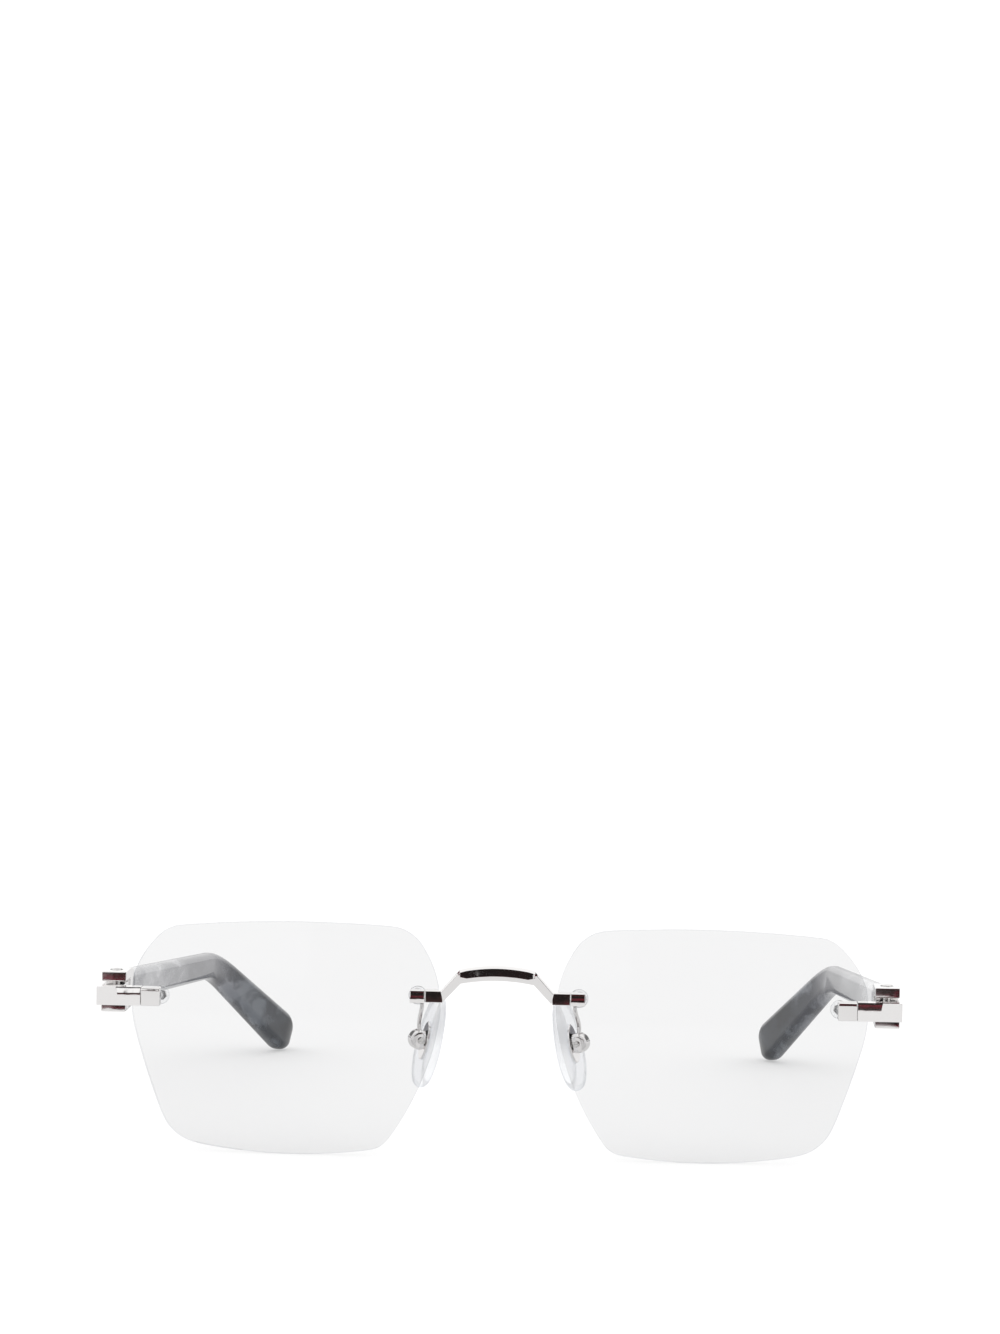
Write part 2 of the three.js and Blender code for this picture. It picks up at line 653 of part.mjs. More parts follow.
function padCore(side) {
  const floor = PAD.thickness / 2 - CORE_PLATE.sunk;
  const top = floor + CORE_PLATE.thickness;
  const outline = padOutline(CORE_PLATE.halfLength, CORE_PLATE.halfWidth, 20);
  const [across, along] = [PAD_LUG.halfWidth, PAD_LUG.halfNeck];
  const neck = box(-across, across, -along, along, top - PAD_LUG.sunk, PAD_PIVOT_Z);
  let body = solid(raised(shapeOf(outline), floor, top)).add(solid(neck));
  body = body.add(solid(padPivotRod(PAD_LUG.r, -across, across)));
  body = body.subtract(solid(padPivotRod(PAD_SCREW.r + SCREW_PLAY, -2, 2)));
  return handed(geometryOf(body), side);
}

// A round housing about the pivot, cut flat and open on the side of the pad.
function padBox(side) {
  const cheek = DRUM.halfWidth - DRUM.wall;
  const drum = padPivotRod(DRUM.r, -DRUM.halfWidth, DRUM.halfWidth);
  const below = box(-2, 2, -3, 3, -2, DRUM.low);
  const cavity = box(-cheek, cheek, -2, 2, 0, DRUM.cavityTop);
  const bore = padPivotRod(PAD_SCREW.r + SCREW_PLAY, -3, 3);
  const body = solid(drum).subtract(solid(below)).subtract(solid(cavity)).subtract(solid(bore));
  return handed(geometryOf(body), side);
}

function padScrew(side) {
  const head = -DRUM.halfWidth - PAD_SCREW.gap - PAD_SCREW.headHeight;
  const profile = [
    [0, head],
    [PAD_SCREW.headR, head],
    [PAD_SCREW.headR, head + PAD_SCREW.headHeight],
    [PAD_SCREW.r, head + PAD_SCREW.headHeight],
    [PAD_SCREW.r, DRUM.halfWidth + PAD_SCREW.proud],
    [0, DRUM.halfWidth + PAD_SCREW.proud],
  ];
  const body = turned(profile).rotateZ(-Math.PI / 2).translate(0, 0, PAD_PIVOT_Z);
  return handed(body, side);
}

// An eyelet under the nasal nut and a wire that drops from it to the top of the housing.
function padArm(side) {
  const eyeFrame = holeInPart('nasal');
  const start = BUSH_FLANGE.to + STACK_GAP;
  const end = start + EYELET_THICKNESS;
  const ring = turned([
    [EYELET_BORE_R, start],
    [EYELET_R, start],
    [EYELET_R, end],
    [EYELET_BORE_R, end],
  ]);
  const middle = (start + end) / 2;
  const rim = new THREE.Vector3(-WIRE_START, middle, -WIRE_START).applyMatrix4(eyeFrame);
  const below = new THREE.Vector3(-WIRE_START, middle, -WIRE_START - WIRE_DROP).applyMatrix4(eyeFrame);
  const [lead, touch] = WIRE_END.map((p) => new THREE.Vector3(0, p.up, p.away).applyMatrix4(padFrame));
  const path = new THREE.CatmullRomCurve3([rim, below, lead, touch]);
  const section = new THREE.Shape().absarc(0, 0, WIRE_R, 0, 2 * Math.PI, false);
  const wire = new THREE.ExtrudeGeometry(section, { steps: WIRE_STEPS, extrudePath: path, curveSegments: 4 });
  const body = solid(ring.applyMatrix4(eyeFrame)).add(solid(wire));
  const room = padPivotRod(DRUM.r + DRUM_GAP, -DRUM.halfWidth - DRUM_GAP, DRUM.halfWidth + DRUM_GAP);
  const trimmed = body.subtract(solid(room.applyMatrix4(padFrame)));
  return handed(geometryOf(trimmed), side);
}

// --- assembly ----------------------------------------------------------------------------------

addMesh(group, 'bridge', bridge(), metal);
for (const [word, side] of [['right', -1], ['left', 1]]) {
  const lensGroup = placed(group, lensFrame, side);
  addMesh(lensGroup, `lens_${word}`, lens(side), lensGlass);
  for (const place of ['nasal', 'temporal']) {
    const holeGroup = placed(lensGroup, holes[place], side);
    addMesh(holeGroup, `lens_bush_${place}_${word}`, bush(), clearPlastic);
    addMesh(holeGroup, `lens_nut_${place}_${word}`, nut(place), darkSteel);
    addMesh(group, `stud_plate_${place}_${word}`, studPlate(place, side), metal);
  }
  addMesh(group, `end_piece_${word}`, endPiece(side), metal);
  const pivot = new THREE.Matrix4().makeTranslation(PIVOT.x, PIVOT.y, 0);
  addMesh(placed(group, pivot, side), `hinge_screw_${word}`, hingeScrew(), darkSteel);
  addMesh(group, `temple_fork_${word}`, templeFork(side), metal);
  addMesh(group, `temple_core_${word}`, templeCore(side), darkSteel);
  addMesh(group, `temple_arm_${word}`, templeArm(side), acetate);
  addMesh(group, `pad_arm_${word}`, padArm(side), metal);
  const padGroup = placed(group, padFrame, side);
  addMesh(padGroup, `pad_box_${word}`, padBox(side), metal);
  addMesh(padGroup, `pad_screw_${word}`, padScrew(side), darkSteel);
  addMesh(padGroup, `pad_core_${word}`, padCore(side), metal);
  addMesh(padGroup, `nose_pad_${word}`, nosePad(side), clearSilicone);
}

export default group;
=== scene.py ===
"""Looks of the rimless eyeglasses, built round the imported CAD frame.

Row frame: metres, +Z up, the lenses face -Y, the temples run along +Y, the left side is +X.
Shapes are worked out in millimetres for the left side and mirrored for the right side.
"""
import json
import math

import bmesh
import bpy
import numpy as np
from mathutils import Matrix, Vector, geometry


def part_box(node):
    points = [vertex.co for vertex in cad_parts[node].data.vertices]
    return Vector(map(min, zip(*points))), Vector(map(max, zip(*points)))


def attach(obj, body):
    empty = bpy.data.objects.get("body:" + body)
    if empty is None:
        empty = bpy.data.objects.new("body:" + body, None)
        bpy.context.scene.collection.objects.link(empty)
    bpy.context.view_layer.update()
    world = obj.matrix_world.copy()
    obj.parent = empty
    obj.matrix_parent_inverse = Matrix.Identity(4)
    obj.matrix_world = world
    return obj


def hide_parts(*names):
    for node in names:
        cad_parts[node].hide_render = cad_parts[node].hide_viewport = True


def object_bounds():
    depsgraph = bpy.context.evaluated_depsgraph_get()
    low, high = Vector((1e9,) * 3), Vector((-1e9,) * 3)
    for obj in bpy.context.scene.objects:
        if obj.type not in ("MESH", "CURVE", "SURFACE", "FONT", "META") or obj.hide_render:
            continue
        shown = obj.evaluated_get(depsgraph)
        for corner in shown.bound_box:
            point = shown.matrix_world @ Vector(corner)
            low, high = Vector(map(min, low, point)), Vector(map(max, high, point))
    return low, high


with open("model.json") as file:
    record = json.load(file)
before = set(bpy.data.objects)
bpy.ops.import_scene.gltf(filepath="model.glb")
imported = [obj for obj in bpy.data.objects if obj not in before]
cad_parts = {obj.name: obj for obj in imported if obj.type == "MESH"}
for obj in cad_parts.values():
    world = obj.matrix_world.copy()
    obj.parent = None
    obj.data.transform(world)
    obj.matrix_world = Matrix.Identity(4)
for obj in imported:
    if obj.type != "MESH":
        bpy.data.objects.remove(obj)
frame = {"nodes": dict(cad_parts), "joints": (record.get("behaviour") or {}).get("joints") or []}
CAD_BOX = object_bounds()

MM = 0.001
SIDES = {"left": 1, "right": -1}

# Camera: place, then where it looks and which way is up for it.
CAMERA_PLACE = (0.029831, -0.697364, 0.0806275)
CAMERA_YAW = 2.484
CAMERA_PITCH = -2.295
CAMERA_ROLL = 0.947
CAMERA_LENS = 110.3

# Lenses: bevels, the step along the curved rim, and the grid of points over each face.
LENS_EDGE_BEVEL = 0.16
LENS_HOLE_BEVEL = 0.08
LENS_RIM_STEP = 0.8
LENS_GRID = 1.5
GRID_TO_RIM = 0.9
GRID_TO_HOLE = 0.7
# The CAD lens's rims and hole edges are its edges bent by more radians than this.
SHARP_ANGLE = 0.9
# The room cut out of metal for a lens: how far ahead of the lens front it starts, and its depth.
LENS_ROOM_GAP = 0.06
LENS_ROOM_DEPTH = 14

# Depths behind the lens front: the first nut's start, and an eyelet with its gap.
STACK_START = 2.61
EYELET_STACK = 0.81
EYELET_THICKNESS = 0.75
EYELET_R = 1.2
EYELET_BORE_R = 0.62
NUT_HEIGHT = 0.7
NUT_R = 0.95
NUT_BORE_R = 0.56
NUT_HALF_FLATS = 0.823
STUD_R = 0.5
STUD_START = -0.5
STUD_PAST_NUT = 0.25
# A sleeve in the lens hole and a flange behind the lens, as radii and depths.
BUSH_PROFILE = ((0.6, 0.15), (0.9, 0.15), (0.98, 0.25), (0.98, 2.08), (1.52, 2.08), (1.6, 2.16),
                (1.6, 2.42), (1.48, 2.55), (0.7, 2.55), (0.6, 2.47))

# Hinges
SCREW_HOLE_R = 0.69
SCREW_R = 0.6
SCREW_HEAD_R = 1.05
SCREW_HEAD_HEIGHT = 0.42
SEAT_R = 1.14
SEAT_DEPTH = 0.4
FORK_PLAY = 0.3

# Temples: a straight run that slopes down, a bend, and a straight tip that toes in.
TEMPLE_SLOPE = math.radians(4.1)
TEMPLE_TOE = math.radians(3.4)
TIP_SLOPE = math.radians(30.6)
TIP_TOE = math.radians(18.8)
STRAIGHT_LENGTH = 82
BEND_RADIUS = 28
TIP_LENGTH = 30.4
TIP_ROUND = 4.8
HINGE_END_ROUND = 0.4
TEMPLE_GAP = 0.4
TEMPLE_RISE = 0.1425
TEMPLE_HEIGHTS = (5.5, 5.1, 8.3)
TEMPLE_THICKNESSES = (3.8, 3.6, 4.1)
TEMPLE_CORNER = 0.42
WIRE_HEIGHT = 1.9
WIRE_THICKNESS = 0.9
WIRE_CORNER = 0.3
WIRE_TO_TIP = 12.5


# --- small geometry helpers, all in millimetres -----------

def cad(node):
    """The CAD node's box in millimetres."""
    low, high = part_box(node)
    return low / MM, high / MM


def joint_at(name):
    """A joint's place in millimetres and its axis."""
    joint = next(j for j in frame["joints"] if j["name"] == name)
    return Vector(joint["pos_m"]) / MM, Vector(joint["axis"]).normalized()


def loft(rings, closed=False):
    """Equal rings joined into a skin, with a flat cap at both ends unless the run is closed."""
    count = len(rings[0])
    verts = [p for ring in rings for p in ring]
    faces = []
    spans = len(rings) if closed else len(rings) - 1
    for r in range(spans):
        a, b = r * count, ((r + 1) % len(rings)) * count
        for i in range(count):
            j = (i + 1) % count
            faces.append((a + i, a + j, b + j, b + i))
    if not closed:
        faces.append(tuple(range(count))[::-1])
        faces.append(tuple(range((len(rings) - 1) * count, len(rings) * count)))
    return verts, faces


def prism(outline, axis, start, end):
    """An outline in the other two axes, run along one axis."""
    def at(p, q, s):
        return [(s, p, q), (p, s, q), (p, q, s)][axis]
    return loft([[at(p, q, s) for p, q in outline] for s in (start, end)])


def lathe(profile, place, direction, steps=48):
    """A profile of (radius, depth) pairs turned about a line. It closes on itself or on the line."""
    direction = Vector(direction).normalized()
    side = direction.orthogonal().normalized()
    other = direction.cross(side)
    rings = []
    for radius, depth in profile:
        centre = Vector(place) + direction * depth
        angles = [2 * math.pi * i / steps for i in range(steps)]
        reach = max(radius, 1e-5)
        rings.append([centre + side * math.cos(a) * reach + other * math.sin(a) * reach
                      for a in angles])
    return loft(rings, closed=profile[0][0] > 0 and profile[-1][0] > 0)


def rod(radius, start, end, place, direction, steps):
    """A plain cylinder between two depths along a line."""
    return lathe([(0, start), (radius, start), (radius, end), (0, end)], place, direction, steps)


def between(p0, p1, p2, p3, steps):
    """Points from p1 up to p2 on a centripetal Catmull-Rom curve."""
    knots = [0.0]
    for p, q in ((p0, p1), (p1, p2), (p2, p3)):
        knots.append(knots[-1] + max(math.sqrt((q - p).length), 1e-6))
    points = []
    for k in range(steps):
        t = knots[1] + (knots[2] - knots[1]) * k / steps
        level = [p0, p1, p2, p3]
        for reach in (1, 2):
            level = [a.lerp(b, (t - knots[i]) / (knots[i + reach] - knots[i]))
                     for i, (a, b) in enumerate(zip(level, level[1:]))]
        points.append(level[0].lerp(level[1], (t - knots[1]) / (knots[2] - knots[1])))
    return points


def smooth_path(points, steps):
    """An open curve through points."""
    full = [2 * points[0] - points[1]] + list(points) + [2 * points[-1] - points[-2]]
    path = []
    for i in range(1, len(full) - 2):
        path += between(*full[i - 1:i + 3], steps)
    return path + [points[-1]]


def tube(path, radius, steps=20):
    """A round wire along a path."""
    across = (path[1] - path[0]).orthogonal().normalized()
    rings = []
    for i, place in enumerate(path):
        ahead = path[min(i + 1, len(path) - 1)] - path[max(i - 1, 0)]
        ahead.normalize()
        across = (across - ahead * across.dot(ahead)).normalized()
        other = ahead.cross(across)
        angles = [2 * math.pi * k / steps for k in range(steps)]
        rings.append([place + across * math.cos(a) * radius + other * math.sin(a) * radius
                      for a in angles])
    return loft(rings)


# --- objects ----------------------------------------------

def make(name, shape, side=1):
    """A mesh object whose unit is the millimetre until finish_piece, mirrored for side -1."""
    verts, faces = shape
    mesh = bpy.data.meshes.new(name)
    mesh.from_pydata([(side * p[0], p[1], p[2]) for p in verts], [], faces)
    bm = bmesh.new()
    bm.from_mesh(mesh)
    bmesh.ops.remove_doubles(bm, verts=bm.verts, dist=1e-4)
    bmesh.ops.dissolve_degenerate(bm, edges=bm.edges, dist=1e-5)
    bmesh.ops.recalc_face_normals(bm, faces=bm.faces)
    bm.to_mesh(mesh)
    bm.free()
    obj = bpy.data.objects.new(name, mesh)
    bpy.context.scene.collection.objects.link(obj)
    return obj


def settle(obj):
    """Applies the object's modifiers."""
    seen = obj.evaluated_get(bpy.context.evaluated_depsgraph_get())
    obj.data = bpy.data.meshes.new_from_object(seen)
    obj.modifiers.clear()
    return obj


def combine(obj, tools, operation):
    """Joins tools to the object or cuts them out of it, and removes them."""
    for tool in tools:
        step = obj.modifiers.new("combine", "BOOLEAN")
        step.object = tool
        step.operation = operation
        step.solver = "EXACT"
        step.use_self = True
    settle(obj)
    for tool in tools:
        bpy.data.objects.remove(tool)


def soften(obj, width, segments=3, angle=20):
    """Merges flat faces, then rounds the edges sharper than angle in degrees."""
    bm = bmesh.new()
    bm.from_mesh(obj.data)
    bmesh.ops.dissolve_limit(bm, angle_limit=math.radians(0.5), verts=bm.verts, edges=bm.edges)
    bm.to_mesh(obj.data)
    bm.free()
    step = obj.modifiers.new("soften", "BEVEL")
    step.width = width
    step.segments = segments
    step.limit_method = "ANGLE"
    step.angle_limit = math.radians(angle)
    step.use_clamp_overlap = True
    return settle(obj)


def finish_piece(obj, body, nodes, materials, sharp=30):
    """Shades a piece, gives it its materials and sets it on its body in place of its CAD nodes."""
    obj.data.shade_smooth()
    obj.data.set_sharp_from_angle(angle=math.radians(sharp))
    step = obj.modifiers.new("flat_faces", "WEIGHTED_NORMAL")
    step.keep_sharp = True
    settle(obj)
    obj.data.transform(Matrix.Scale(MM, 4))
    obj.data.materials.clear()
    for material in materials:
        obj.data.materials.append(material)
    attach(obj, body)
    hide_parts(*nodes)


# --- materials --------------------------------------------

# Sockets of the mix node that carry colours.
COLOUR_A = 6
COLOUR_B = 7
COLOUR_OUT = 2


class Nodes:
    """A short way to write a node tree."""

    def __init__(self, tree):
        self.tree = tree
        tree.nodes.clear()

    def add(self, kind, inputs=None, **settings):
        node = self.tree.nodes.new(kind)
        for key, value in settings.items():
            setattr(node, key, value)
        for key, value in (inputs or {}).items():
            self.feed(node, key, value)
        return node

    def feed(self, node, key, value):
        if isinstance(value, bpy.types.NodeSocket):
            self.tree.links.new(value, node.inputs[key])
        elif isinstance(value, bpy.types.Node):
            self.tree.links.new(value.outputs[0], node.inputs[key])
        else:
            node.inputs[key].default_value = value

    def ramp(self, value, stops):
        """Colours between (place, colour) stops."""
        node = self.add("ShaderNodeValToRGB", {0: value})
        node.color_ramp.interpolation = "EASE"
        elements = node.color_ramp.elements
        while len(elements) < len(stops):
            elements.new(0.5)
        for element, (place, colour) in zip(elements, stops):
            element.position = place
            element.color = colour if len(colour) == 4 else (*colour, 1)
        return node

    def math(self, operation, a, b=0.0, c=0.0, clamp=False):
        return self.add("ShaderNodeMath", {0: a, 1: b, 2: c}, operation=operation, use_clamp=clamp)

    def mix(self, share, a, b):
        """The colour a where share is 0 and b where it is 1."""
        node = self.add("ShaderNodeMix", {0: share}, data_type="RGBA")
        self.feed(node, COLOUR_A, a)
        self.feed(node, COLOUR_B, b)
        return node.outputs[COLOUR_OUT]


def material(name):
    """A new material, the writer of its tree and its output node."""
    made = bpy.data.materials.new(name)
    made.use_nodes = True
    nodes = Nodes(made.node_tree)
    output = nodes.add("ShaderNodeOutputMaterial")
    return made, nodes, output


def grey(value):
    return (value, value, value, 1)


def metal(name, colour, roughness, wave, scratch):
    """Polished metal: slightly wavy, with faint rubbing marks and paler, duller edges."""
    made, nodes, output = material(name)
    place = nodes.add("ShaderNodeTexCoord").outputs["Object"]
    waves = nodes.add("ShaderNodeTexNoise", {"Vector": place, "Scale": 420.0, "Detail": 1.0})
    marks_map = nodes.add("ShaderNodeMapping", {"Vector": place, "Scale": (900.0, 5000.0, 9000.0)})
    marks = nodes.add("ShaderNodeTexNoise", {"Vector": marks_map, "Scale": 1.0, "Detail": 4.0})
    smudge = nodes.add("ShaderNodeTexNoise", {"Vector": place, "Scale": 260.0, "Detail": 3.0})
    convex = nodes.add("ShaderNodeNewGeometry").outputs["Pointiness"]
    edge = nodes.ramp(convex, [(0.52, grey(0)), (0.62, grey(1))])
    bump = nodes.add("ShaderNodeBump", {"Height": waves, "Strength": wave, "Distance": 0.0002})
    fine = nodes.add("ShaderNodeBump", {"Height": marks, "Strength": scratch, "Distance": 0.00002,
                                        "Normal": bump})
    rough = nodes.math("MULTIPLY_ADD", smudge, roughness * 0.8, roughness * 0.6)
    rough = nodes.math("MULTIPLY_ADD", edge, 0.06, rough)
    tone = nodes.mix(smudge, [c * 0.97 for c in colour[:3]] + [1], colour)
    tone = nodes.mix(edge, tone, [min(1, c * 1.08) for c in colour[:3]] + [1])
    shader = nodes.add("ShaderNodeBsdfPrincipled", {
        "Base Color": tone, "Metallic": 1.0, "Roughness": rough, "Normal": fine})
    nodes.feed(output, "Surface", shader)
    return made


def clear(name, tint, edge_tint, roughness, grain=0.05, gloss=1.0, shade=None):
    """A clear body seen as a tinted veil that darkens where it is seen edge-on, under a gloss.

    With a shade, light that goes on to other things is dimmed to it, so the body casts a shadow.
    """
    made, nodes, output = material(name)
    place = nodes.add("ShaderNodeTexCoord").outputs["Object"]
    noise = nodes.add("ShaderNodeTexNoise", {"Vector": place, "Scale": 300.0, "Detail": 3.0})
    bump = nodes.add("ShaderNodeBump", {"Height": noise, "Strength": grain, "Distance": 0.0001})
    facing = nodes.add("ShaderNodeLayerWeight", {"Blend": 0.5}).outputs["Facing"]
    veil = nodes.math("POWER", facing, 2.0)
    colour = nodes.mix(veil, tint, edge_tint)
    colour = nodes.mix(nodes.math("MULTIPLY", noise, 0.06), colour, edge_tint)
    if shade is not None:
        path = nodes.add("ShaderNodeLightPath").outputs
        lighting = nodes.math("MAXIMUM", path["Is Shadow Ray"], path["Is Diffuse Ray"])
        colour = nodes.mix(lighting, colour, grey(shade))
    through = nodes.add("ShaderNodeBsdfTransparent", {"Color": colour})
    rough = nodes.math("MULTIPLY_ADD", noise, roughness * 0.5, roughness * 0.75)
    shine = nodes.add("ShaderNodeBsdfGlossy", {"Color": grey(1), "Roughness": rough, "Normal": bump})
    fresnel = nodes.add("ShaderNodeFresnel", {"IOR": 1.5, "Normal": bump})
    share = nodes.math("MULTIPLY", fresnel, gloss, clamp=True)
    both = nodes.add("ShaderNodeMixShader", {0: share, 1: through, 2: shine})
    nodes.feed(output, "Surface", both)
    return made


def acetate(name):
    """Marbled grey acetate under a polished coat, pale near the hinge and slate at the tip. The change
    from pale to dark is partly the acetate's own tone and partly painted light: painted sheen near the
    hinge and painted shade at the tip.
    """
    made, nodes, output = material(name)
    place = nodes.add("ShaderNodeTexCoord").outputs["Object"]
    along = nodes.add("ShaderNodeSeparateXYZ", {"Vector": place}).outputs["Y"]
    stretched = nodes.add("ShaderNodeMapping", {"Vector": place, "Scale": (150.0, 42.0, 120.0)})
    warp = nodes.add("ShaderNodeTexNoise", {"Vector": stretched, "Scale": 0.8, "Detail": 3.0})
    bend = nodes.add("ShaderNodeVectorMath", {0: warp.outputs["Color"], 1: (2.2, 2.2, 2.2)},
                     operation="MULTIPLY")
    warped = nodes.add("ShaderNodeVectorMath", {0: stretched, 1: bend}, operation="ADD")
    clouds = nodes.add("ShaderNodeTexNoise", {"Vector": warped, "Scale": 0.9, "Detail": 4.0,
                                              "Roughness": 0.55})
    # Along the temple the colour runs from pale to dark. This is partly the acetate's own tone, partly
    # painted sheen near the hinge and painted shade at the tip.
    run = nodes.add("ShaderNodeMapRange", {"Value": along, "From Min": 0.02, "From Max": 0.14})
    pale = nodes.ramp(clouds, [(0.36, (0.25, 0.252, 0.275)), (0.5, (0.42, 0.422, 0.44)),
                               (0.62, (0.66, 0.66, 0.68))])
    middle = nodes.ramp(clouds, [(0.38, (0.05, 0.049, 0.065)), (0.5, (0.11, 0.11, 0.13)),
                                 (0.64, (0.3, 0.3, 0.33))])
    dark = nodes.ramp(clouds, [(0.38, (0.006, 0.008, 0.012)), (0.5, (0.022, 0.027, 0.036)),
                               (0.66, (0.12, 0.135, 0.155))])
    body = nodes.mix(nodes.ramp(run, [(0.1, grey(0)), (0.55, grey(1))]), pale, middle)
    body = nodes.mix(nodes.ramp(run, [(0.6, grey(0)), (0.88, grey(1))]), body, dark)
    noise = nodes.add("ShaderNodeTexNoise", {"Vector": place, "Scale": 600.0, "Detail": 2.0})
    bump = nodes.add("ShaderNodeBump", {"Height": noise, "Strength": 0.05, "Distance": 0.0001})
    rough = nodes.math("MULTIPLY_ADD", noise, 0.06, 0.1)
    shader = nodes.add("ShaderNodeBsdfPrincipled", {
        "Base Color": body, "Roughness": rough, "Normal": bump, "Coat Weight": 0.35,
        "Coat Roughness": 0.05, "IOR": 1.49})
    nodes.feed(output, "Surface", shader)
    return made


SILVER = metal("silver_polished", (0.88, 0.865, 0.86, 1), 0.05, 0.15, 0.05)
STEEL = metal("steel_turned", (0.74, 0.73, 0.72, 1), 0.24, 0.1, 0.2)
LENS = clear("lens_clear", (0.918, 0.918, 0.919, 1), (0.86, 0.865, 0.875, 1), 0.01,
             grain=0.0, gloss=0.12, shade=0.85)
LENS_RIM = clear("lens_rim", (0.975, 0.98, 0.985, 1), (0.93, 0.945, 0.96, 1), 0.12,
                 gloss=0.04, shade=0.3)
BUSH = clear("bush_clear", (0.975, 0.977, 0.98, 1), (0.9, 0.915, 0.93, 1), 0.08, gloss=0.6)
SILICONE = clear("silicone_clear", (0.982, 0.984, 0.988, 1), (0.9, 0.915, 0.945, 1), 0.22,
                 grain=0.1, gloss=0.5)
ACETATE = acetate("acetate_marbled")


# --- lenses -----------------------------------------------

def sharp_loops(node):
    """The CAD node's sharp edges as closed loops of points, longest first."""
    bm = bmesh.new()
    bm.from_mesh(frame["nodes"][node].data)
    bmesh.ops.remove_doubles(bm, verts=bm.verts, dist=1e-7)
    sharp = {e for e in bm.edges
             if len(e.link_faces) == 2 and e.calc_face_angle() > SHARP_ANGLE}
    loops = []
    while sharp:
        edge = sharp.pop()
        first, last = edge.verts
        chain = [first, last]
        while last is not first:
            edge = next(e for e in last.link_edges if e in sharp)
            sharp.discard(edge)
            last = edge.other_vert(last)
            chain.append(last)
        loops.append([Vector(v.co) / MM for v in chain[:-1]])
    bm.free()

    def length(loop):
        return sum((p - q).length for p, q in zip(loop, loop[1:] + loop[:1]))
    return sorted(loops, key=length, reverse=True)


class LensPlane:
    """The left lens seen along its own axis: u to the temple, v up, and the depth of its front."""

    def __init__(self):
        loops = sharp_loops("lens_left")
        mean = [sum(loop, Vector()) / len(loop) for loop in loops]
        front, back = sorted((0, 1), key=lambda i: mean[i].y)
        self.axis = (mean[back] - mean[front]).normalized()
        self.thickness = (mean[back] - mean[front]).length
        self.v = (Vector((0, 0, 1)) - self.axis * self.axis.z).normalized()
        self.u = self.v.cross(self.axis) * -1
        if self.u.x < 0:
            self.u = -self.u
        self.rim = [self.flat(p) for p in loops[front]]
        holes = sorted(range(2, 6), key=lambda i: mean[i].x)
        self.holes = [min(pair, key=lambda i: mean[i].y) for pair in (holes[:2], holes[2:])]
        self.hole_centres = [self.flat(mean[i]) for i in self.holes]
        known = [p for i in (front, *self.holes) for p in loops[i]]
        rows = [(1, *self.flat(p), self.flat(p).length_squared) for p in known]
        depths = [p.dot(self.axis) for p in known]
        self.fit = np.linalg.lstsq(np.array(rows), np.array(depths), rcond=None)[0]
        hole = [self.flat(p) for p in loops[self.holes[0]]]
        self.hole_radius = max((p - self.hole_centres[0]).length for p in hole)

    def flat(self, point):
        """A point's place (u, v)."""
        return Vector((point.dot(self.u), point.dot(self.v)))

    def at(self, p, behind=0.0):
        """A point of the lens front, or so far behind it."""
        depth = self.fit @ (1, p.x, p.y, p.length_squared)
        return self.u * p.x + self.v * p.y + self.axis * (depth + behind)

    def into(self, p):
        """The direction straight into the lens at a point of its front."""
        slope = self.fit[1:3] + 2 * self.fit[3] * np.array(p)
        return (self.axis - self.u * slope[0] - self.v * slope[1]).normalized()


def rounded(loop, spacing):
    """A closed loop refined with a smooth curve through its points."""
    count = len(loop)
    fine = []
    for i in range(count):
        corners = [loop[(i + k) % count] for k in (-1, 0, 1, 2)]
        steps = max(2, round((corners[2] - corners[1]).length / spacing))
        fine += between(*corners, steps)
    return fine


def inset(loop, distance):
    """A closed counter-clockwise loop moved inwards."""
    moved = []
    for i, p in enumerate(loop):
        along = (loop[(i + 1) % len(loop)] - loop[i - 1]).normalized()
        moved.append(p + Vector((-along.y, along.x)) * distance)
    return moved


def inside(p, loop):
    """Whether a point lies within a closed loop."""
    hit = False
    for a, b in zip(loop, loop[1:] + loop[:1]):
        if (a.y > p.y) != (b.y > p.y) and p.x < (b.x - a.x) * (p.y - a.y) / (b.y - a.y) + a.x:
            hit = not hit
    return hit


def circle(centre, radius, steps=40):
    angles = [2 * math.pi * i / steps for i in range(steps)]
    return [centre + Vector((math.cos(a), math.sin(a))) * radius for a in angles]


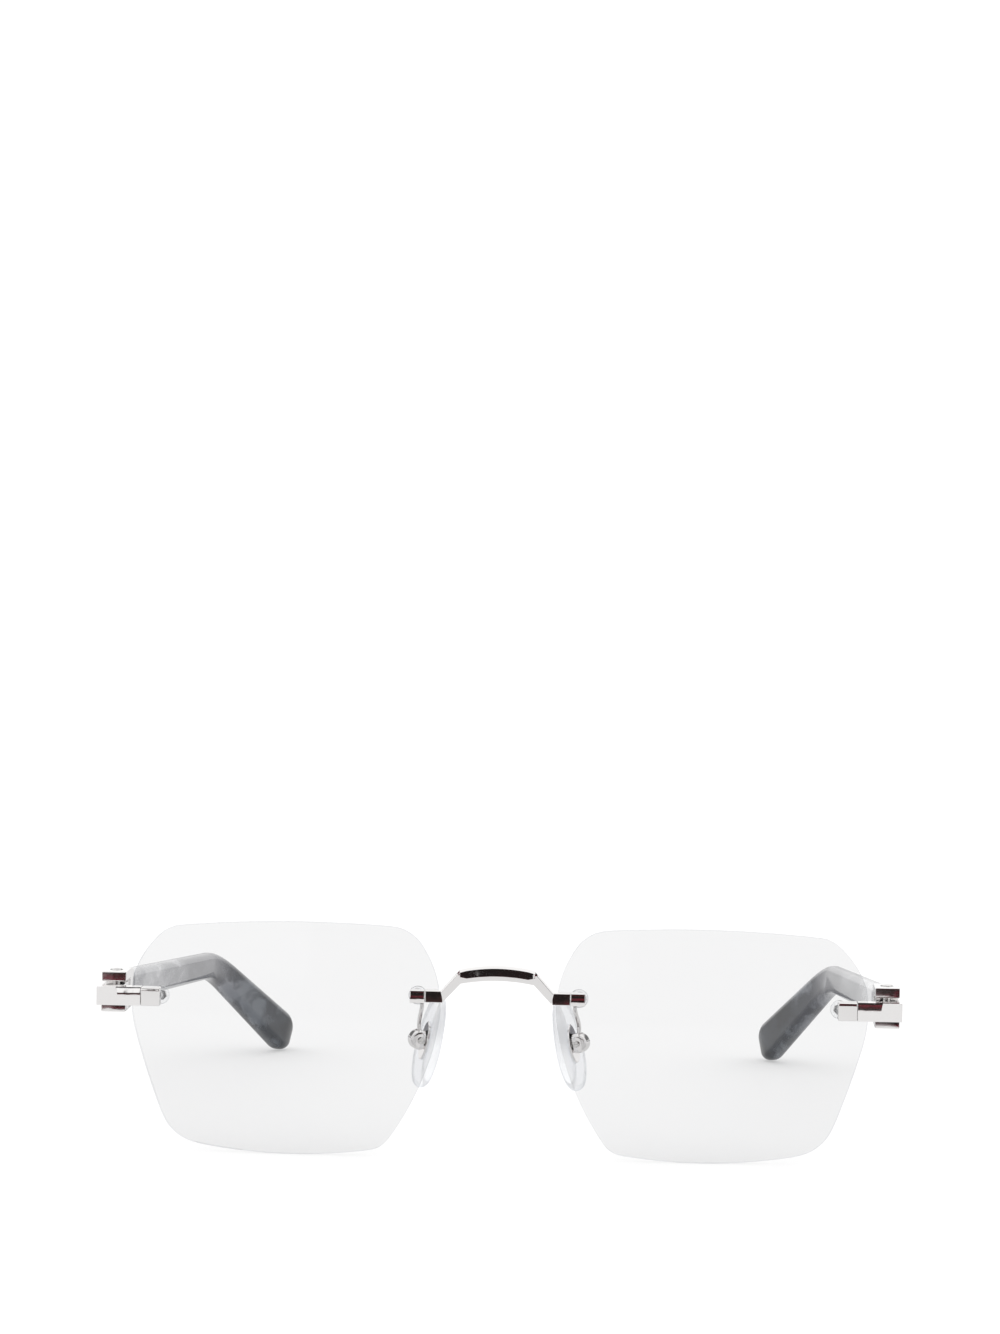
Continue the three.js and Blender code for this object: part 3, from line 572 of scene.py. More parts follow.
def lens_shape(plane):
    """The lens body: two curved faces, a ground edge with thin bevels, and two drilled holes.

    Each face has a kind: 0 for the two curved faces, 1 for the ground edge and the holes.
    """
    rim = rounded(plane.rim, LENS_RIM_STEP)
    area = sum(p.x * q.y - q.x * p.y for p, q in zip(rim, rim[1:] + rim[:1]))
    if area < 0:
        rim.reverse()
    outer = inset(rim, LENS_EDGE_BEVEL)
    holes = [circle(c, plane.hole_radius) for c in plane.hole_centres]
    wide = [circle(c, plane.hole_radius + LENS_HOLE_BEVEL) for c in plane.hole_centres]
    loops = [outer, *wide]
    points = [p for loop in loops for p in loop]
    edges = []
    start = 0
    for loop in loops:
        edges += [(start + i, start + (i + 1) % len(loop)) for i in range(len(loop))]
        start += len(loop)
    fence = inset(rim, GRID_TO_RIM)
    to_centre = plane.hole_radius + GRID_TO_HOLE
    low = Vector((min(p.x for p in rim), min(p.y for p in rim)))
    high = Vector((max(p.x for p in rim), max(p.y for p in rim)))
    for x in np.arange(low.x, high.x, LENS_GRID):
        for y in np.arange(low.y, high.y, LENS_GRID):
            p = Vector((float(x), float(y)))
            clear_of_holes = all((p - c).length > to_centre for c in plane.hole_centres)
            if clear_of_holes and inside(p, fence):
                points.append(p)
    flat, _, tris, source, _, _ = geometry.delaunay_2d_cdt(points, edges, [], 1, 1e-6)
    where = {s: i for i, group in enumerate(source) for s in group}
    bores = []
    start = len(outer)
    for loop in wide:
        bores.append({where[i] for i in range(start, start + len(loop))})
        start += len(loop)
    tris = [t for t in tris if not any(bore.issuperset(t) for bore in bores)]
    count = len(flat)
    verts = [plane.at(p) for p in flat] + [plane.at(p, plane.thickness) for p in flat]
    faces = [tuple(t) for t in tris] + [tuple(count + i for i in reversed(t)) for t in tris]
    kinds = [0] * len(faces)
    bevels = (LENS_EDGE_BEVEL, LENS_HOLE_BEVEL, LENS_HOLE_BEVEL)
    start = 0
    for loop, true, bevel in zip(loops, [rim, *holes], bevels):
        size = len(loop)
        first = len(verts)
        verts += [plane.at(p, bevel) for p in true]
        verts += [plane.at(p, plane.thickness - bevel) for p in true]
        rows = [[where[start + i] for i in range(size)],
                [first + i for i in range(size)],
                [first + size + i for i in range(size)],
                [count + where[start + i] for i in range(size)]]
        for a, b in zip(rows, rows[1:]):
            for i in range(size):
                j = (i + 1) % size
                faces.append((a[i], a[j], b[j], b[i]))
                kinds.append(1)
        start += size
    return verts, faces, kinds


def build_lens(word, side, plane):
    verts, faces, kinds = lens_shape(plane)
    obj = make(f"lens_clear_{word}", (verts, faces), side)
    for polygon, kind in zip(obj.data.polygons, kinds):
        polygon.material_index = kind
    finish_piece(obj, "front", [f"lens_{word}"], [LENS, LENS_RIM])


# --- fasteners through the lenses -------------------------

def build_fasteners(word, side, plane):
    """The bush in each lens hole, and the nut behind it."""
    for place, centre in zip(("nasal", "temporal"), plane.hole_centres):
        origin, into = plane.at(centre), plane.into(centre)
        obj = make(f"bush_{place}_{word}", lathe(BUSH_PROFILE, origin, into), side)
        finish_piece(obj, "front", [f"lens_bush_{place}_{word}"], [BUSH])
        build_nut(word, side, place, origin, into)


def build_nut(word, side, place, origin, into):
    """A hexagonal nut with chamfered corners on its stud."""
    start = STACK_START + (EYELET_STACK if place == "nasal" else 0)
    height = NUT_HEIGHT
    bore = NUT_BORE_R
    steps = 72
    across = into.orthogonal().normalized()
    other = into.cross(across)
    cone = [(bore, 0.05), (bore + 0.05, 0), (NUT_R - 0.09, 0), (NUT_R, 0.07), (NUT_R, height - 0.12),
            (NUT_R - 0.17, height), (bore + 0.05, height), (bore, height - 0.05)]
    rings = []
    for radius, depth in cone:
        ring = []
        for i in range(steps):
            angle = 2 * math.pi * i / steps
            corner = (angle + math.pi / 6) % (math.pi / 3) - math.pi / 6
            reach = min(radius, NUT_HALF_FLATS / math.cos(corner))
            out = across * math.cos(angle) + other * math.sin(angle)
            ring.append(origin + into * (start + depth) + out * reach)
        rings.append(ring)
    obj = make(f"nut_{place}_{word}", loft(rings, closed=True), side)
    finish_piece(obj, "front", [f"lens_nut_{place}_{word}"], [STEEL])


# --- profiles of the metal fronts -------------------------

def front_line(low, y, steps):
    """Points (y, z) up a metal front. Each step is a height and the tilt of that piece, face up."""
    z = low
    line = [(y, z)]
    for height, tilt in steps:
        y += height * math.tan(math.radians(tilt))
        z += height
        line.append((y, z))
    return line


def lens_cut(plane, centre, side, half=9):
    """A block behind the lens front near a point, for taking the lens's room out of metal."""
    origin, into = plane.at(centre, -LENS_ROOM_GAP), plane.into(centre)
    across = into.orthogonal().normalized()
    other = into.cross(across)
    rings = [[origin + into * d + across * a + other * b
              for a, b in ((half, half), (-half, half), (-half, -half), (half, -half))]
             for d in (0, LENS_ROOM_DEPTH)]
    return make("lens_room", loft(rings), side)


# Faces of the plates from the bottom up, as heights and tilts in degrees. A steep lip closes each.
NASAL_PLATE_FACES = ((0.5, 0), (0.35, 3), (0.4, 7), (0.5, 11), (0.3, 14))
TEMPORAL_PLATE_FACES = ((0.2, 2), (0.16, 8), (0.18, 17))
TEMPORAL_PLATE_ROUND = 0.75
PLATE_LIP_TILT = 40
PLATE_DEPTH = 6
TEMPORAL_PLATE_INNER_X = 58.5


def build_plate(word, side, plane, place):
    """A plate flat on the lens front, with its stud through the lens."""
    low, high = cad(f"stud_plate_{place}_left")
    nasal = place == "nasal"
    centre = plane.hole_centres[0 if nasal else 1]
    height = high.z - low.z
    if nasal:
        steps = list(NASAL_PLATE_FACES)
        inner_x = low.x
    else:
        steps = [(height - TEMPORAL_PLATE_ROUND, 0), *TEMPORAL_PLATE_FACES]
        inner_x = TEMPORAL_PLATE_INNER_X
    used = sum(h for h, _ in steps)
    steps.append((height - used, PLATE_LIP_TILT))
    line = front_line(low.z, low.y, steps)
    back = line[-1][0] + PLATE_DEPTH
    line += [(back, high.z), (back, low.z)]
    obj = make(f"plate_{place}_{word}", prism(line, 0, inner_x, high.x), side)
    combine(obj, [lens_cut(plane, centre, side)], "DIFFERENCE")
    soften(obj, 0.12 if nasal else 0.22, 4, 50)
    end = STACK_START + (EYELET_STACK if nasal else 0) + NUT_HEIGHT
    origin, into = plane.at(centre), plane.into(centre)
    tip = end + STUD_PAST_NUT
    stud = lathe([(0, STUD_START), (STUD_R, STUD_START), (STUD_R, tip - 0.08), (STUD_R - 0.08, tip),
                  (0, tip)], origin, into, 40)
    combine(obj, [make("stud", stud, side)], "UNION")
    finish_piece(obj, "front", [f"stud_plate_{place}_{word}"], [SILVER])


# --- bridge -----------------------------------------------

BAR_HALF_TOP = 6.5
BAR_HALF_BOTTOM = 6.3
BAR_RISE = 0.75
BAR_BOTTOM_RISE = 0.625
BAR_DEPTH = 2.2
BAR_STATIONS = (0, 1.1, 2.2, 3.3, 4.4, 5.4)
# Facets of the front from the bottom up: shares of the height, and how far back each edge stands.
BAR_FACETS = ((0.0, 0.32, 0.86, 1.0), (0.0, 0.0, 0.26, 0.95))
MITRE_FACETS = ((0.0, 0.5, 0.82, 1.0), (0.0, 0.0, 0.12, 0.3))
ARM_FACETS = ((0.0, 0.55, 0.86, 1.0), (0.0, 0.0, 0.02, 0.14))
ARM_SHARES = (0.12, 0.5, 1.0)
ARM_FOOT_TOP_X = 9.75
ARM_FOOT_BOTTOM_X = 9.3
ARM_FOOT_RISE = 0.4
ARM_SETBACK = 0.6
LUG_INNER_X = 9.4
LUG_RISE = 0.1


def bridge_sections():
    """Sections of the bar and one arm, from the middle outwards: top, bottom, facet shares, setbacks."""
    _, high = cad("bridge")
    lug_low, lug_high = cad("stud_plate_nasal_left")
    top, bottom = high.z, -high.z
    sections = []
    for x in BAR_STATIONS:
        t = Vector((x, top - BAR_RISE * (x / BAR_HALF_TOP) ** 2))
        b = Vector((x * BAR_HALF_BOTTOM / BAR_HALF_TOP,
                    bottom - BAR_BOTTOM_RISE * (x / BAR_HALF_TOP) ** 2))
        sections.append((t, b, *BAR_FACETS, 0.0))
    corner_top = Vector((BAR_HALF_TOP, top - BAR_RISE))
    corner_bottom = Vector((BAR_HALF_BOTTOM, bottom - BAR_BOTTOM_RISE))
    foot_top = Vector((ARM_FOOT_TOP_X, lug_high.z))
    foot_bottom = Vector((ARM_FOOT_BOTTOM_X, lug_low.z + ARM_FOOT_RISE))
    sections.append((corner_top, corner_bottom, *MITRE_FACETS, 0.0))
    for t in ARM_SHARES:
        sections.append((corner_top.lerp(foot_top, t), corner_bottom.lerp(foot_bottom, t),
                         *ARM_FACETS, ARM_SETBACK * t))
    return sections


def bridge_half():
    """Rings of the left half of the bar and its arm, from the middle outwards."""
    rings = []
    for top, bottom, shares, setbacks, back in bridge_sections():
        ring = []
        for share, setback in zip(shares, setbacks):
            p = bottom.lerp(top, share)
            ring.append((p.x, setback + back, p.y))
        ring.append((top.x, BAR_DEPTH + back / 2, top.y))
        ring.append((bottom.x, BAR_DEPTH + back / 2, bottom.y))
        rings.append(ring)
    return rings


def build_bridge(plane):
    """The arched bar and its two arms, with a lug at the foot of each arm."""
    left = bridge_half()
    right = [[(-x, y, z) for x, y, z in ring] for ring in left[:0:-1]]
    obj = make("bridge_bar", loft(right + left))
    _, bridge_high = cad("bridge")
    low, high = cad("stud_plate_nasal_left")
    height = high.z - low.z - LUG_RISE
    steps = [(height - 0.25, 10.5), (0.25, 25)]
    line = front_line(low.z + LUG_RISE, low.y, steps)
    back = bridge_high.y + 1
    line += [(back, high.z), (back, low.z + LUG_RISE)]
    lugs = []
    for side in SIDES.values():
        lug = make("lug", prism(line, 0, LUG_INNER_X, bridge_high.x), side)
        combine(lug, [lens_cut(plane, plane.hole_centres[0], side)], "DIFFERENCE")
        lugs.append(soften(lug, 0.14, 3, 50))
    soften(obj, 0.05, 2, 9)
    combine(obj, lugs, "UNION")
    finish_piece(obj, "front", ["bridge"], [SILVER], 25)


# --- end pieces, forks and hinge screws -------------------

TONGUE_HALF_WIDTH = 2.0
BLOCK_DEPTH = 2.7
BLOCK_CORNER = 1.2
END_ROOM_HALF = 5.3
# The hollow along the top of the block's front, as heights and tilts in degrees.
SCOOP_HEIGHT = 1.6
SCOOP_FACES = ((0.2, 1.0), (0.3, 3.5), (0.3, 7), (0.3, 11), (0.3, 15), (0.2, 19))
SCOOP_OUTER_X = 65.85
SCOOP_OUTER_LEAN = 0.2


def build_end(word, side, plane):
    """The front block that turns back round the lens edge and ends in the hinge tongue."""
    low, high = cad("end_piece_left")
    pivot, _ = joint_at("temple_left_fold")
    tongue = TONGUE_HALF_WIDTH
    back = low.y + BLOCK_DEPTH
    arc = [(pivot.x + tongue * math.cos(a), pivot.y + tongue * math.sin(a))
           for a in np.linspace(0, math.pi, 25)]
    plan = [(low.x, low.y), (high.x, low.y), (high.x, back), (pivot.x + tongue, back + BLOCK_CORNER),
            *arc, (pivot.x - tongue, back), (low.x, back)]
    obj = make(f"end_block_{word}", prism(plan, 2, low.z, high.z), side)
    combine(obj, [lens_cut(plane, plane.hole_centres[1], side, END_ROOM_HALF)], "DIFFERENCE")
    bottom = high.z - SCOOP_HEIGHT
    line = front_line(bottom, low.y, SCOOP_FACES)
    line += [(line[-1][0], high.z + 1), (low.y - 1, high.z + 1), (low.y - 1, bottom)]
    rings = [[(low.x - 0.5, y, z) for y, z in line],
             [(SCOOP_OUTER_X + (z - bottom) * SCOOP_OUTER_LEAN, y, z) for y, z in line]]
    combine(obj, [make("scoop", loft(rings), side)], "DIFFERENCE")
    soften(obj, 0.12, 3, 40)
    bore = rod(SCREW_HOLE_R, low.z - 1, high.z + 1, (pivot.x, pivot.y, 0), (0, 0, 1), 40)
    combine(obj, [make("bore", bore, side)], "DIFFERENCE")
    finish_piece(obj, "front", [f"end_piece_{word}"], [SILVER], 25)


def build_fork(word, side):
    """Two ears above and below the tongue, joined by the web that holds the temple."""
    low, high = cad("temple_fork_left")
    tongue_low, tongue_high = cad("end_piece_left")
    pivot, _ = joint_at("temple_left_fold")
    slot_end = pivot.y + 2.5
    taper = high.y - 3.4
    lean = math.tan(TEMPLE_SLOPE)

    def front(z):
        return low.y + (z - low.z) * lean
    profile = [(front(low.z), low.z), (taper, low.z), (high.y, low.z + 0.85), (high.y, high.z - 0.45),
               (taper, high.z), (front(high.z), high.z)]
    for z in (tongue_high.z + FORK_PLAY, tongue_low.z - FORK_PLAY):
        ends = [(front(z), z), (slot_end, z)]
        profile += ends if z > pivot.z else ends[::-1]
    obj = make(f"hinge_fork_{word}", prism(profile, 0, low.x, high.x), side)
    soften(obj, 0.2, 3, 40)
    place = (pivot.x, pivot.y, 0)
    bore = rod(SCREW_HOLE_R, low.z - 1, high.z + 1, place, (0, 0, 1), 40)
    seat = rod(SEAT_R, high.z - SEAT_DEPTH, high.z + 1, place, (0, 0, 1), 48)
    combine(obj, [make("bore", bore, side), make("seat", seat, side)], "DIFFERENCE")
    finish_piece(obj, f"temple_{word}", [f"temple_fork_{word}"], [SILVER], 25)


def build_hinge_screw(word, side):
    """The hinge's screw, with a slot across its head."""
    low, high = cad("hinge_screw_left")
    pivot, _ = joint_at("temple_left_fold")
    top = high.z
    radius = SCREW_R
    head = SCREW_HEAD_R
    under = top - SCREW_HEAD_HEIGHT
    profile = [(0, low.z), (radius - 0.12, low.z), (radius, low.z + 0.12), (radius, under),
               (head, under), (head, top - 0.08), (head - 0.1, top), (0, top)]
    obj = make(f"hinge_pin_{word}", lathe(profile, (pivot.x, pivot.y, 0), (0, 0, 1), 56), side)
    slot = prism([(-0.13, top - 0.28), (0.13, top - 0.28), (0.13, top + 1), (-0.13, top + 1)], 0, -2, 2)
    turn = Matrix.Rotation(math.radians(25), 3, "Z")
    verts = [turn @ Vector(v) + Vector((pivot.x, pivot.y, 0)) for v in slot[0]]
    combine(obj, [make("slot", (verts, slot[1]), side)], "DIFFERENCE")
    finish_piece(obj, f"temple_{word}", [f"hinge_screw_{word}"], [STEEL])


# --- temples ----------------------------------------------

def heading(slope, toe):
    """The direction that slopes down and turns in by these angles."""
    return Vector((-math.sin(toe), math.cos(slope) * math.cos(toe), -math.sin(slope) * math.cos(toe)))


def temple_stations():
    """Stations down a temple: place, direction, distance and share of the full section."""
    first = heading(TEMPLE_SLOPE, TEMPLE_TOE).normalized()
    last = heading(TIP_SLOPE, TIP_TOE).normalized()
    bend = math.acos(first.dot(last))
    pivot, _ = joint_at("temple_left_fold")
    _, high = cad("temple_fork_left")
    start_y = high.y + TEMPLE_GAP
    start_x = pivot.x - (start_y - pivot.y) * math.tan(TEMPLE_TOE)
    place = Vector((start_x, start_y, pivot.z + TEMPLE_RISE))
    distance = 0.0
    stations = []

    def add(direction, share=1.0):
        stations.append((place.copy(), direction.copy(), distance, share))

    rim = HINGE_END_ROUND
    for angle in (0, 22.5, 45, 67.5):
        share = 1 - rim * (1 - math.sin(math.radians(angle))) / 3
        step = rim * (1 - math.cos(math.radians(angle)))
        stations.append((place + first * step, first.copy(), step, share))
    steps = 24
    for i in range(steps + 1):
        d = rim + (STRAIGHT_LENGTH - rim) * i / steps
        stations.append((place + first * d, first.copy(), d, 1.0))
    place = place + first * STRAIGHT_LENGTH
    distance = STRAIGHT_LENGTH
    steps = 24
    chord = 2 * BEND_RADIUS * math.sin(bend / steps / 2)

    def turned(t):
        return (first * math.sin((1 - t) * bend) + last * math.sin(t * bend)).normalized()
    for i in range(steps):
        place = place + turned((i + 0.5) / steps) * chord
        distance += chord
        add(turned((i + 1) / steps))
    steps = 10
    run = TIP_LENGTH - TIP_ROUND
    for _ in range(steps):
        place = place + last * (run / steps)
        distance += run / steps
        add(last)
    done = 0.0
    for i in range(1, 15):
        angle = math.radians(88) * i / 14
        reach = TIP_ROUND * math.sin(angle)
        place = place + last * (reach - done)
        distance += reach - done
        done = reach
        add(last, math.cos(angle))
    return stations


def size_at(sizes, distance, whole):
    """A size at a distance, between those at the hinge, the bend's start and the tip."""
    if distance < STRAIGHT_LENGTH:
        return sizes[0] + (sizes[1] - sizes[0]) * distance / STRAIGHT_LENGTH
    return sizes[1] + (sizes[2] - sizes[1]) * (distance - STRAIGHT_LENGTH) / (whole - STRAIGHT_LENGTH)


def temple_section(place, direction, height, thickness, corner=TEMPLE_CORNER, steps=8):
    """A rectangle across the temple, with its corners rounded by a share of its thickness."""
    up = (Vector((0, 0, 1)) - direction * direction.z).normalized()
    out = direction.cross(up)
    radius = corner * thickness
    ring = []
    for sx, sy, start in ((1, 1, 0), (-1, 1, 90), (-1, -1, 180), (1, -1, 270)):
        for k in range(steps + 1):
            angle = math.radians(start + 90 * k / steps)
            x = sx * (thickness / 2 - radius) + radius * math.cos(angle)
            y = sy * (height / 2 - radius) + radius * math.sin(angle)
            ring.append(place + out * x + up * y)
    return ring


def build_temple(word, side):
    """The acetate arm and its core wire."""
    stations = temple_stations()
    whole = stations[-1][2]
    rings = []
    for place, direction, distance, share in stations:
        height = size_at(TEMPLE_HEIGHTS, distance, whole) * (0.12 + 0.88 * share)
        thickness = size_at(TEMPLE_THICKNESSES, distance, whole) * (0.3 + 0.7 * share)
        rings.append(temple_section(place, direction, height, min(thickness, height)))
    obj = make(f"temple_acetate_{word}", loft(rings), side)
    wire = [temple_section(place, direction, WIRE_HEIGHT, WIRE_THICKNESS, WIRE_CORNER, 3)
            for place, direction, distance, _ in stations if distance < whole - WIRE_TO_TIP]
    core = make(f"temple_wire_{word}", loft(wire), side)
    finish_piece(core, f"temple_{word}", [f"temple_core_{word}"], [STEEL])
    finish_piece(obj, f"temple_{word}", [f"temple_arm_{word}"], [ACETATE], 50)


# --- nose pads --------------------------------------------

PAD_LEAN = math.radians(12.5)
PAD_HALF_LENGTH = 8.3
PAD_HALF_WIDTH = 4
PAD_THICKNESS = 2.2
PAD_PIVOT_HEIGHT = 2.15
# Layers from the nose side to the back, as levels in pad thicknesses and shares of the outline.
PAD_LAYERS = ((-0.5, 0.5), (-0.49, 0.66), (-0.44, 0.8), (-0.34, 0.91), (-0.18, 0.98), (0.0, 1.0),
              (0.18, 0.985), (0.34, 0.94), (0.44, 0.89), (0.5, 0.82), (0.48, 0.7), (0.46, 0.5))
RECESS_SIZE = (3.52, 1.67)
RECESS_LEVELS = (0.63, 3)
PLATE_SIZE = (3.4, 1.55)
PLATE_LAYERS = ((0.75, 0.97), (0.8, 1), (1.12, 1), (1.2, 0.95))
PIN_HOLE_R = 0.45
# The round housing: half width and radius, its wall, and the levels of its foot and its ceiling.
DRUM_HALF = 1.25
DRUM_R = 1.75
DRUM_WALL = 0.6
DRUM_FOOT = 1.48
DRUM_CEILING = 3.05
DRUM_ROOM = 0.04
PIN_R = 0.36
PIN_HEAD_R = 0.6
PIN_HEAD_HEIGHT = 0.3
PIN_HEAD_GAP = 0.05
PAD_WIRE_R = 0.36
# Where the wire leaves the eyelet, sideways and down from the stud.
WIRE_START = (-0.76, -0.76)
WIRE_DROP = 1.2


class PadPlane:
    """The left pad's own axes: rear, up the pad, and away from the nose."""

    def __init__(self):
        self.pivot, self.rear = joint_at("pad_left_rock")
        self.up = Vector((-math.sin(PAD_LEAN), 0, math.cos(PAD_LEAN)))
        self.up = (self.up - self.rear * self.up.dot(self.rear)).normalized()
        self.away = self.rear.cross(self.up)
        self.centre = self.pivot - self.away * PAD_PIVOT_HEIGHT

    def at(self, x, y, z):
        return self.centre + self.rear * x + self.up * y + self.away * z

    def block(self, xs, ys, zs):
        """A block between pairs of bounds along the pad's axes."""
        corners = ((xs[0], ys[0]), (xs[1], ys[0]), (xs[1], ys[1]), (xs[0], ys[1]))
        return loft([[self.at(x, y, z) for x, y in corners] for z in zs])


def egg(half_length, half_width, steps):
    """An egg outline, a little narrower at its top."""
    points = []
    for i in range(steps):
        angle = 2 * math.pi * i / steps
        y = half_length * math.sin(angle)
        points.append((half_width * (1 - 0.16 * y / half_length) * math.cos(angle), y))
    return points


def build_pad(word, side, pad):
    """The silicone pad and the metal plate set in its back, with an eye for the pin."""
    body = f"pad_{word}"
    outline = egg(PAD_HALF_LENGTH, PAD_HALF_WIDTH, 72)
    rings = [[pad.at(x * s, y * (0.5 + s / 2) if s > 0.7 else y * s * 1.21, level * PAD_THICKNESS)
              for x, y in outline] for level, s in PAD_LAYERS]
    obj = make(f"pad_silicone_{word}", loft(rings), side)
    recess = [[pad.at(x, y, z) for x, y in egg(*RECESS_SIZE, 48)] for z in RECESS_LEVELS]
    combine(obj, [make("recess", loft(recess), side)], "DIFFERENCE")
    finish_piece(obj, body, [f"nose_pad_{word}"], [SILICONE], 35)

    rings = [[pad.at(x * s, y * s, z) for x, y in egg(*PLATE_SIZE, 48)] for z, s in PLATE_LAYERS]
    plate = make(f"pad_plate_{word}", loft(rings), side)
    neck = pad.block((-0.5, 0.5), (-0.6, 0.6), (1.0, PAD_PIVOT_HEIGHT))
    eye = lathe([(0, -0.55), (0.66, -0.55), (0.72, -0.49), (0.72, 0.49), (0.66, 0.55), (0, 0.55)],
                pad.pivot, pad.rear, 40)
    combine(plate, [make("neck", neck, side), make("eye", eye, side)], "UNION")
    bore = rod(PIN_HOLE_R, -2, 2, pad.pivot, pad.rear, 32)
    combine(plate, [make("bore", bore, side)], "DIFFERENCE")
    finish_piece(plate, body, [f"pad_core_{word}"], [SILVER])


def build_pad_housing(word, side, pad):
    """The round housing, open below for the pad's eye, and the pin through both."""
    half = DRUM_HALF
    radius = DRUM_R
    drum = [(0, -half), (radius - 0.62, -half), (radius - 0.3, -half + 0.1),
            (radius - 0.08, -half + 0.35), (radius, -half + 0.7), (radius, half - 0.7),
            (radius - 0.08, half - 0.35), (radius - 0.3, half - 0.1), (radius - 0.62, half), (0, half)]
    obj = make(f"pad_cage_{word}", lathe(drum, pad.pivot, pad.rear, 64), side)
    below = pad.block((-2, 2), (-3, 3), (-2, DRUM_FOOT))
    inner = half - DRUM_WALL
    cavity = pad.block((-inner, inner), (-2.1, 2.1), (-0.5, DRUM_CEILING))
    bore = rod(PIN_HOLE_R, -3, 3, pad.pivot, pad.rear, 32)
    tools = [make("below", below, side), make("cavity", cavity, side), make("bore", bore, side)]
    combine(obj, tools, "DIFFERENCE")
    finish_piece(obj, "front", [f"pad_box_{word}"], [SILVER])

    head = -half - PIN_HEAD_GAP - PIN_HEAD_HEIGHT
    under = head + PIN_HEAD_HEIGHT
    profile = [(0, head), (PIN_HEAD_R - 0.1, head), (PIN_HEAD_R, head + 0.09), (PIN_HEAD_R, under),
               (PIN_R, under), (PIN_R, half + 0.07), (PIN_R - 0.08, half + 0.15), (0, half + 0.15)]
    screw = make(f"pad_pin_{word}", lathe(profile, pad.pivot, pad.rear, 40), side)
    slot = pad.block((head - 1, head + 0.14), (-0.08, 0.08),
                     (PAD_PIVOT_HEIGHT - 1.5, PAD_PIVOT_HEIGHT + 1.5))
    combine(screw, [make("slot", slot, side)], "DIFFERENCE")
    finish_piece(screw, "front", [f"pad_screw_{word}"], [STEEL])


def build_pad_arm(word, side, plane, pad):
    """An eyelet under the nasal nut and a wire that drops from it to the round housing."""
    centre = plane.hole_centres[0]
    origin, into = plane.at(centre), plane.into(centre)
    start = STACK_START
    end = start + EYELET_THICKNESS
    radius = EYELET_R
    ring = lathe([(EYELET_BORE_R, start), (radius - 0.1, start), (radius, start + 0.1),
                  (radius, end - 0.1), (radius - 0.1, end), (EYELET_BORE_R, end)], origin, into, 56)
    obj = make(f"pad_wire_{word}", ring, side)
    turn = Vector((0, 1, 0)).rotation_difference(into)
    middle = (start + end) / 2
    x, z = WIRE_START
    points = [origin + turn @ Vector((x, middle, z)), origin + turn @ Vector((x, middle, z - WIRE_DROP)),
              pad.at(0, 2.9, 2.75), pad.at(0, 1.4, 2.4)]
    wire = make("wire", tube(smooth_path(points, 10), PAD_WIRE_R), side)
    combine(obj, [wire], "UNION")
    reach = DRUM_HALF + DRUM_ROOM
    room = rod(DRUM_R + DRUM_ROOM, -reach, reach, pad.pivot, pad.rear, 64)
    combine(obj, [make("room", room, side)], "DIFFERENCE")
    finish_piece(obj, "front", [f"pad_arm_{word}"], [SILVER])


# --- surroundings -----------------------------------------

FLOOR_HALF = 4.0
# Greys of the floor: as all but polished surfaces see it, and as polished surfaces see it.
FLOOR_PAINT = (0.58, 0.42)
FLOOR_GLOW = (0.47, 0.38)
# The dark part of the room, as (from, to, softness) in degrees. Azimuth runs from the front to +X.
DARK_ELEVATION = (-2.5, 38, 1)
DARK_AZIMUTH = (-50, 50, 6)
WINDOW_ELEVATION = (6, 26, 1.5)
WINDOW_AZIMUTH = (-60, -7.0, 0.3)
STREAK_ELEVATION = (-5, 1.4, 0.5)
REAR_ELEVATION = (10, 34, 3)
REAR_AZIMUTH = (115, 160, 8)
WORLD_STRENGTH = 1.08


def build_floor():
    """A wide white floor under the glasses."""
    low, _ = CAD_BOX
    half = FLOOR_HALF
    mesh = bpy.data.meshes.new("floor")
    corners = [(-half, -half, low.z), (half, -half, low.z), (half, half, low.z), (-half, half, low.z)]
    mesh.from_pydata(corners, [], [(0, 1, 2, 3)])
    floor = bpy.data.objects.new("floor", mesh)
    bpy.context.scene.collection.objects.link(floor)
    made, nodes, output = material("floor_white")
    shiny = nodes.add("ShaderNodeLightPath").outputs["Is Glossy Ray"]
    paint = nodes.add("ShaderNodeBsdfDiffuse", {"Color": nodes.mix(shiny, *map(grey, FLOOR_PAINT))})
    glow = nodes.add("ShaderNodeEmission", {"Color": nodes.mix(shiny, *map(grey, FLOOR_GLOW))})
    shader = nodes.add("ShaderNodeAddShader", {0: paint, 1: glow})
    nodes.feed(output, "Surface", shader)
    mesh.materials.append(made)


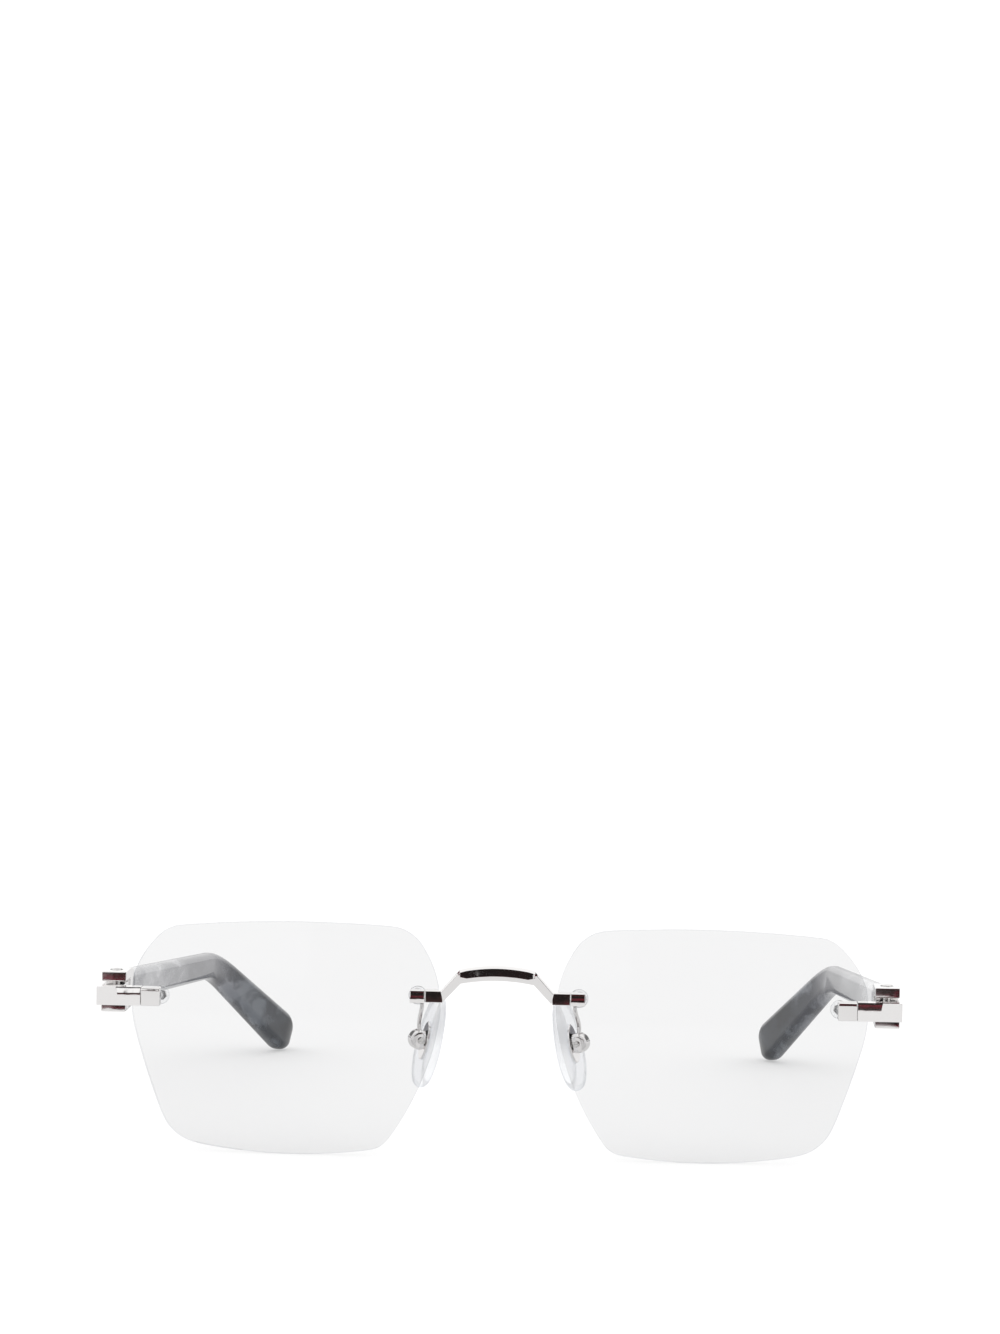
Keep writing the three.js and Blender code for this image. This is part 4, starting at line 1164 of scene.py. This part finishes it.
def build_world():
    """Soft white light all round. Only polished surfaces see the dark part of the room."""
    world = bpy.data.worlds.new("studio")
    world.use_nodes = True
    bpy.context.scene.world = world
    nodes = Nodes(world.node_tree)
    output = nodes.add("ShaderNodeOutputWorld")
    direction = nodes.add("ShaderNodeTexCoord").outputs["Generated"]
    parts = nodes.add("ShaderNodeSeparateXYZ", {"Vector": direction})
    x, y, z = (parts.outputs[k] for k in "XYZ")
    elevation = nodes.math("MULTIPLY", nodes.math("ARCSINE", z), 180 / math.pi)
    azimuth = nodes.math("MULTIPLY", nodes.math("ARCTAN2", x, nodes.math("MULTIPLY", y, -1.0)),
                         180 / math.pi)

    def band(value, low, high, soft):
        up = nodes.add("ShaderNodeMapRange", {"Value": value, "From Min": low - soft,
                                              "From Max": low + soft})
        down = nodes.add("ShaderNodeMapRange", {"Value": value, "From Min": high + soft,
                                                "From Max": high - soft})
        return nodes.math("MULTIPLY", up, down)
    front = nodes.math("MULTIPLY", band(elevation, *DARK_ELEVATION), band(azimuth, *DARK_AZIMUTH))
    window = nodes.math("MULTIPLY", band(elevation, *WINDOW_ELEVATION), band(azimuth, *WINDOW_AZIMUTH))
    front = nodes.math("MULTIPLY", front, nodes.math("SUBTRACT", 1.0, window))
    patch = nodes.add("ShaderNodeTexNoise", {"Vector": direction, "Scale": 5.0, "Detail": 2.0})
    dark = nodes.ramp(patch, [(0.42, (0.014, 0.011, 0.011)), (0.54, (0.035, 0.02, 0.019)),
                              (0.64, (0.17, 0.02, 0.033))])
    streak = nodes.ramp(nodes.add("ShaderNodeTexNoise", {"Vector": direction, "Scale": 22.0}),
                        [(0.46, grey(0)), (0.54, grey(1))])
    low = nodes.math("MULTIPLY", band(elevation, *STREAK_ELEVATION), streak)
    dark = nodes.mix(nodes.math("MULTIPLY", low, 0.75), dark, (0.19, 0.01, 0.028, 1))
    behind = nodes.math("MULTIPLY", band(elevation, *REAR_ELEVATION),
                        band(nodes.math("ABSOLUTE", azimuth), *REAR_AZIMUTH))
    room = nodes.mix(nodes.math("MULTIPLY", behind, 0.85), grey(1), grey(0.05))
    room = nodes.mix(front, room, dark)
    shiny = nodes.add("ShaderNodeLightPath").outputs["Is Glossy Ray"]
    colour = nodes.mix(shiny, grey(1), room)
    light = nodes.add("ShaderNodeBackground", {"Color": colour, "Strength": WORLD_STRENGTH})
    nodes.feed(output, "Surface", light)


def build_camera():
    """The camera, far in front of the glasses and a little above them."""
    data = bpy.data.cameras.new("camera")
    data.lens = CAMERA_LENS
    data.sensor_width = 36
    data.clip_start, data.clip_end = 0.01, 20
    camera = bpy.data.objects.new("camera", data)
    bpy.context.scene.collection.objects.link(camera)
    turn = (Matrix.Rotation(math.radians(CAMERA_YAW), 4, "Z")
            @ Matrix.Rotation(math.radians(90 + CAMERA_PITCH), 4, "X")
            @ Matrix.Rotation(math.radians(CAMERA_ROLL), 4, "Z"))
    camera.matrix_world = Matrix.Translation(CAMERA_PLACE) @ turn
    bpy.context.scene.camera = camera
    bpy.context.scene.view_settings.view_transform = "Standard"


def build():
    """Every piece of the glasses."""
    plane = LensPlane()
    pad = PadPlane()
    build_bridge(plane)
    for word, side in SIDES.items():
        build_lens(word, side, plane)
        build_fasteners(word, side, plane)
        for place in ("nasal", "temporal"):
            build_plate(word, side, plane, place)
        build_end(word, side, plane)
        build_fork(word, side)
        build_hinge_screw(word, side)
        build_temple(word, side)
        build_pad(word, side, pad)
        build_pad_housing(word, side, pad)
        build_pad_arm(word, side, plane, pad)


build()
build_floor()
build_world()
build_camera()
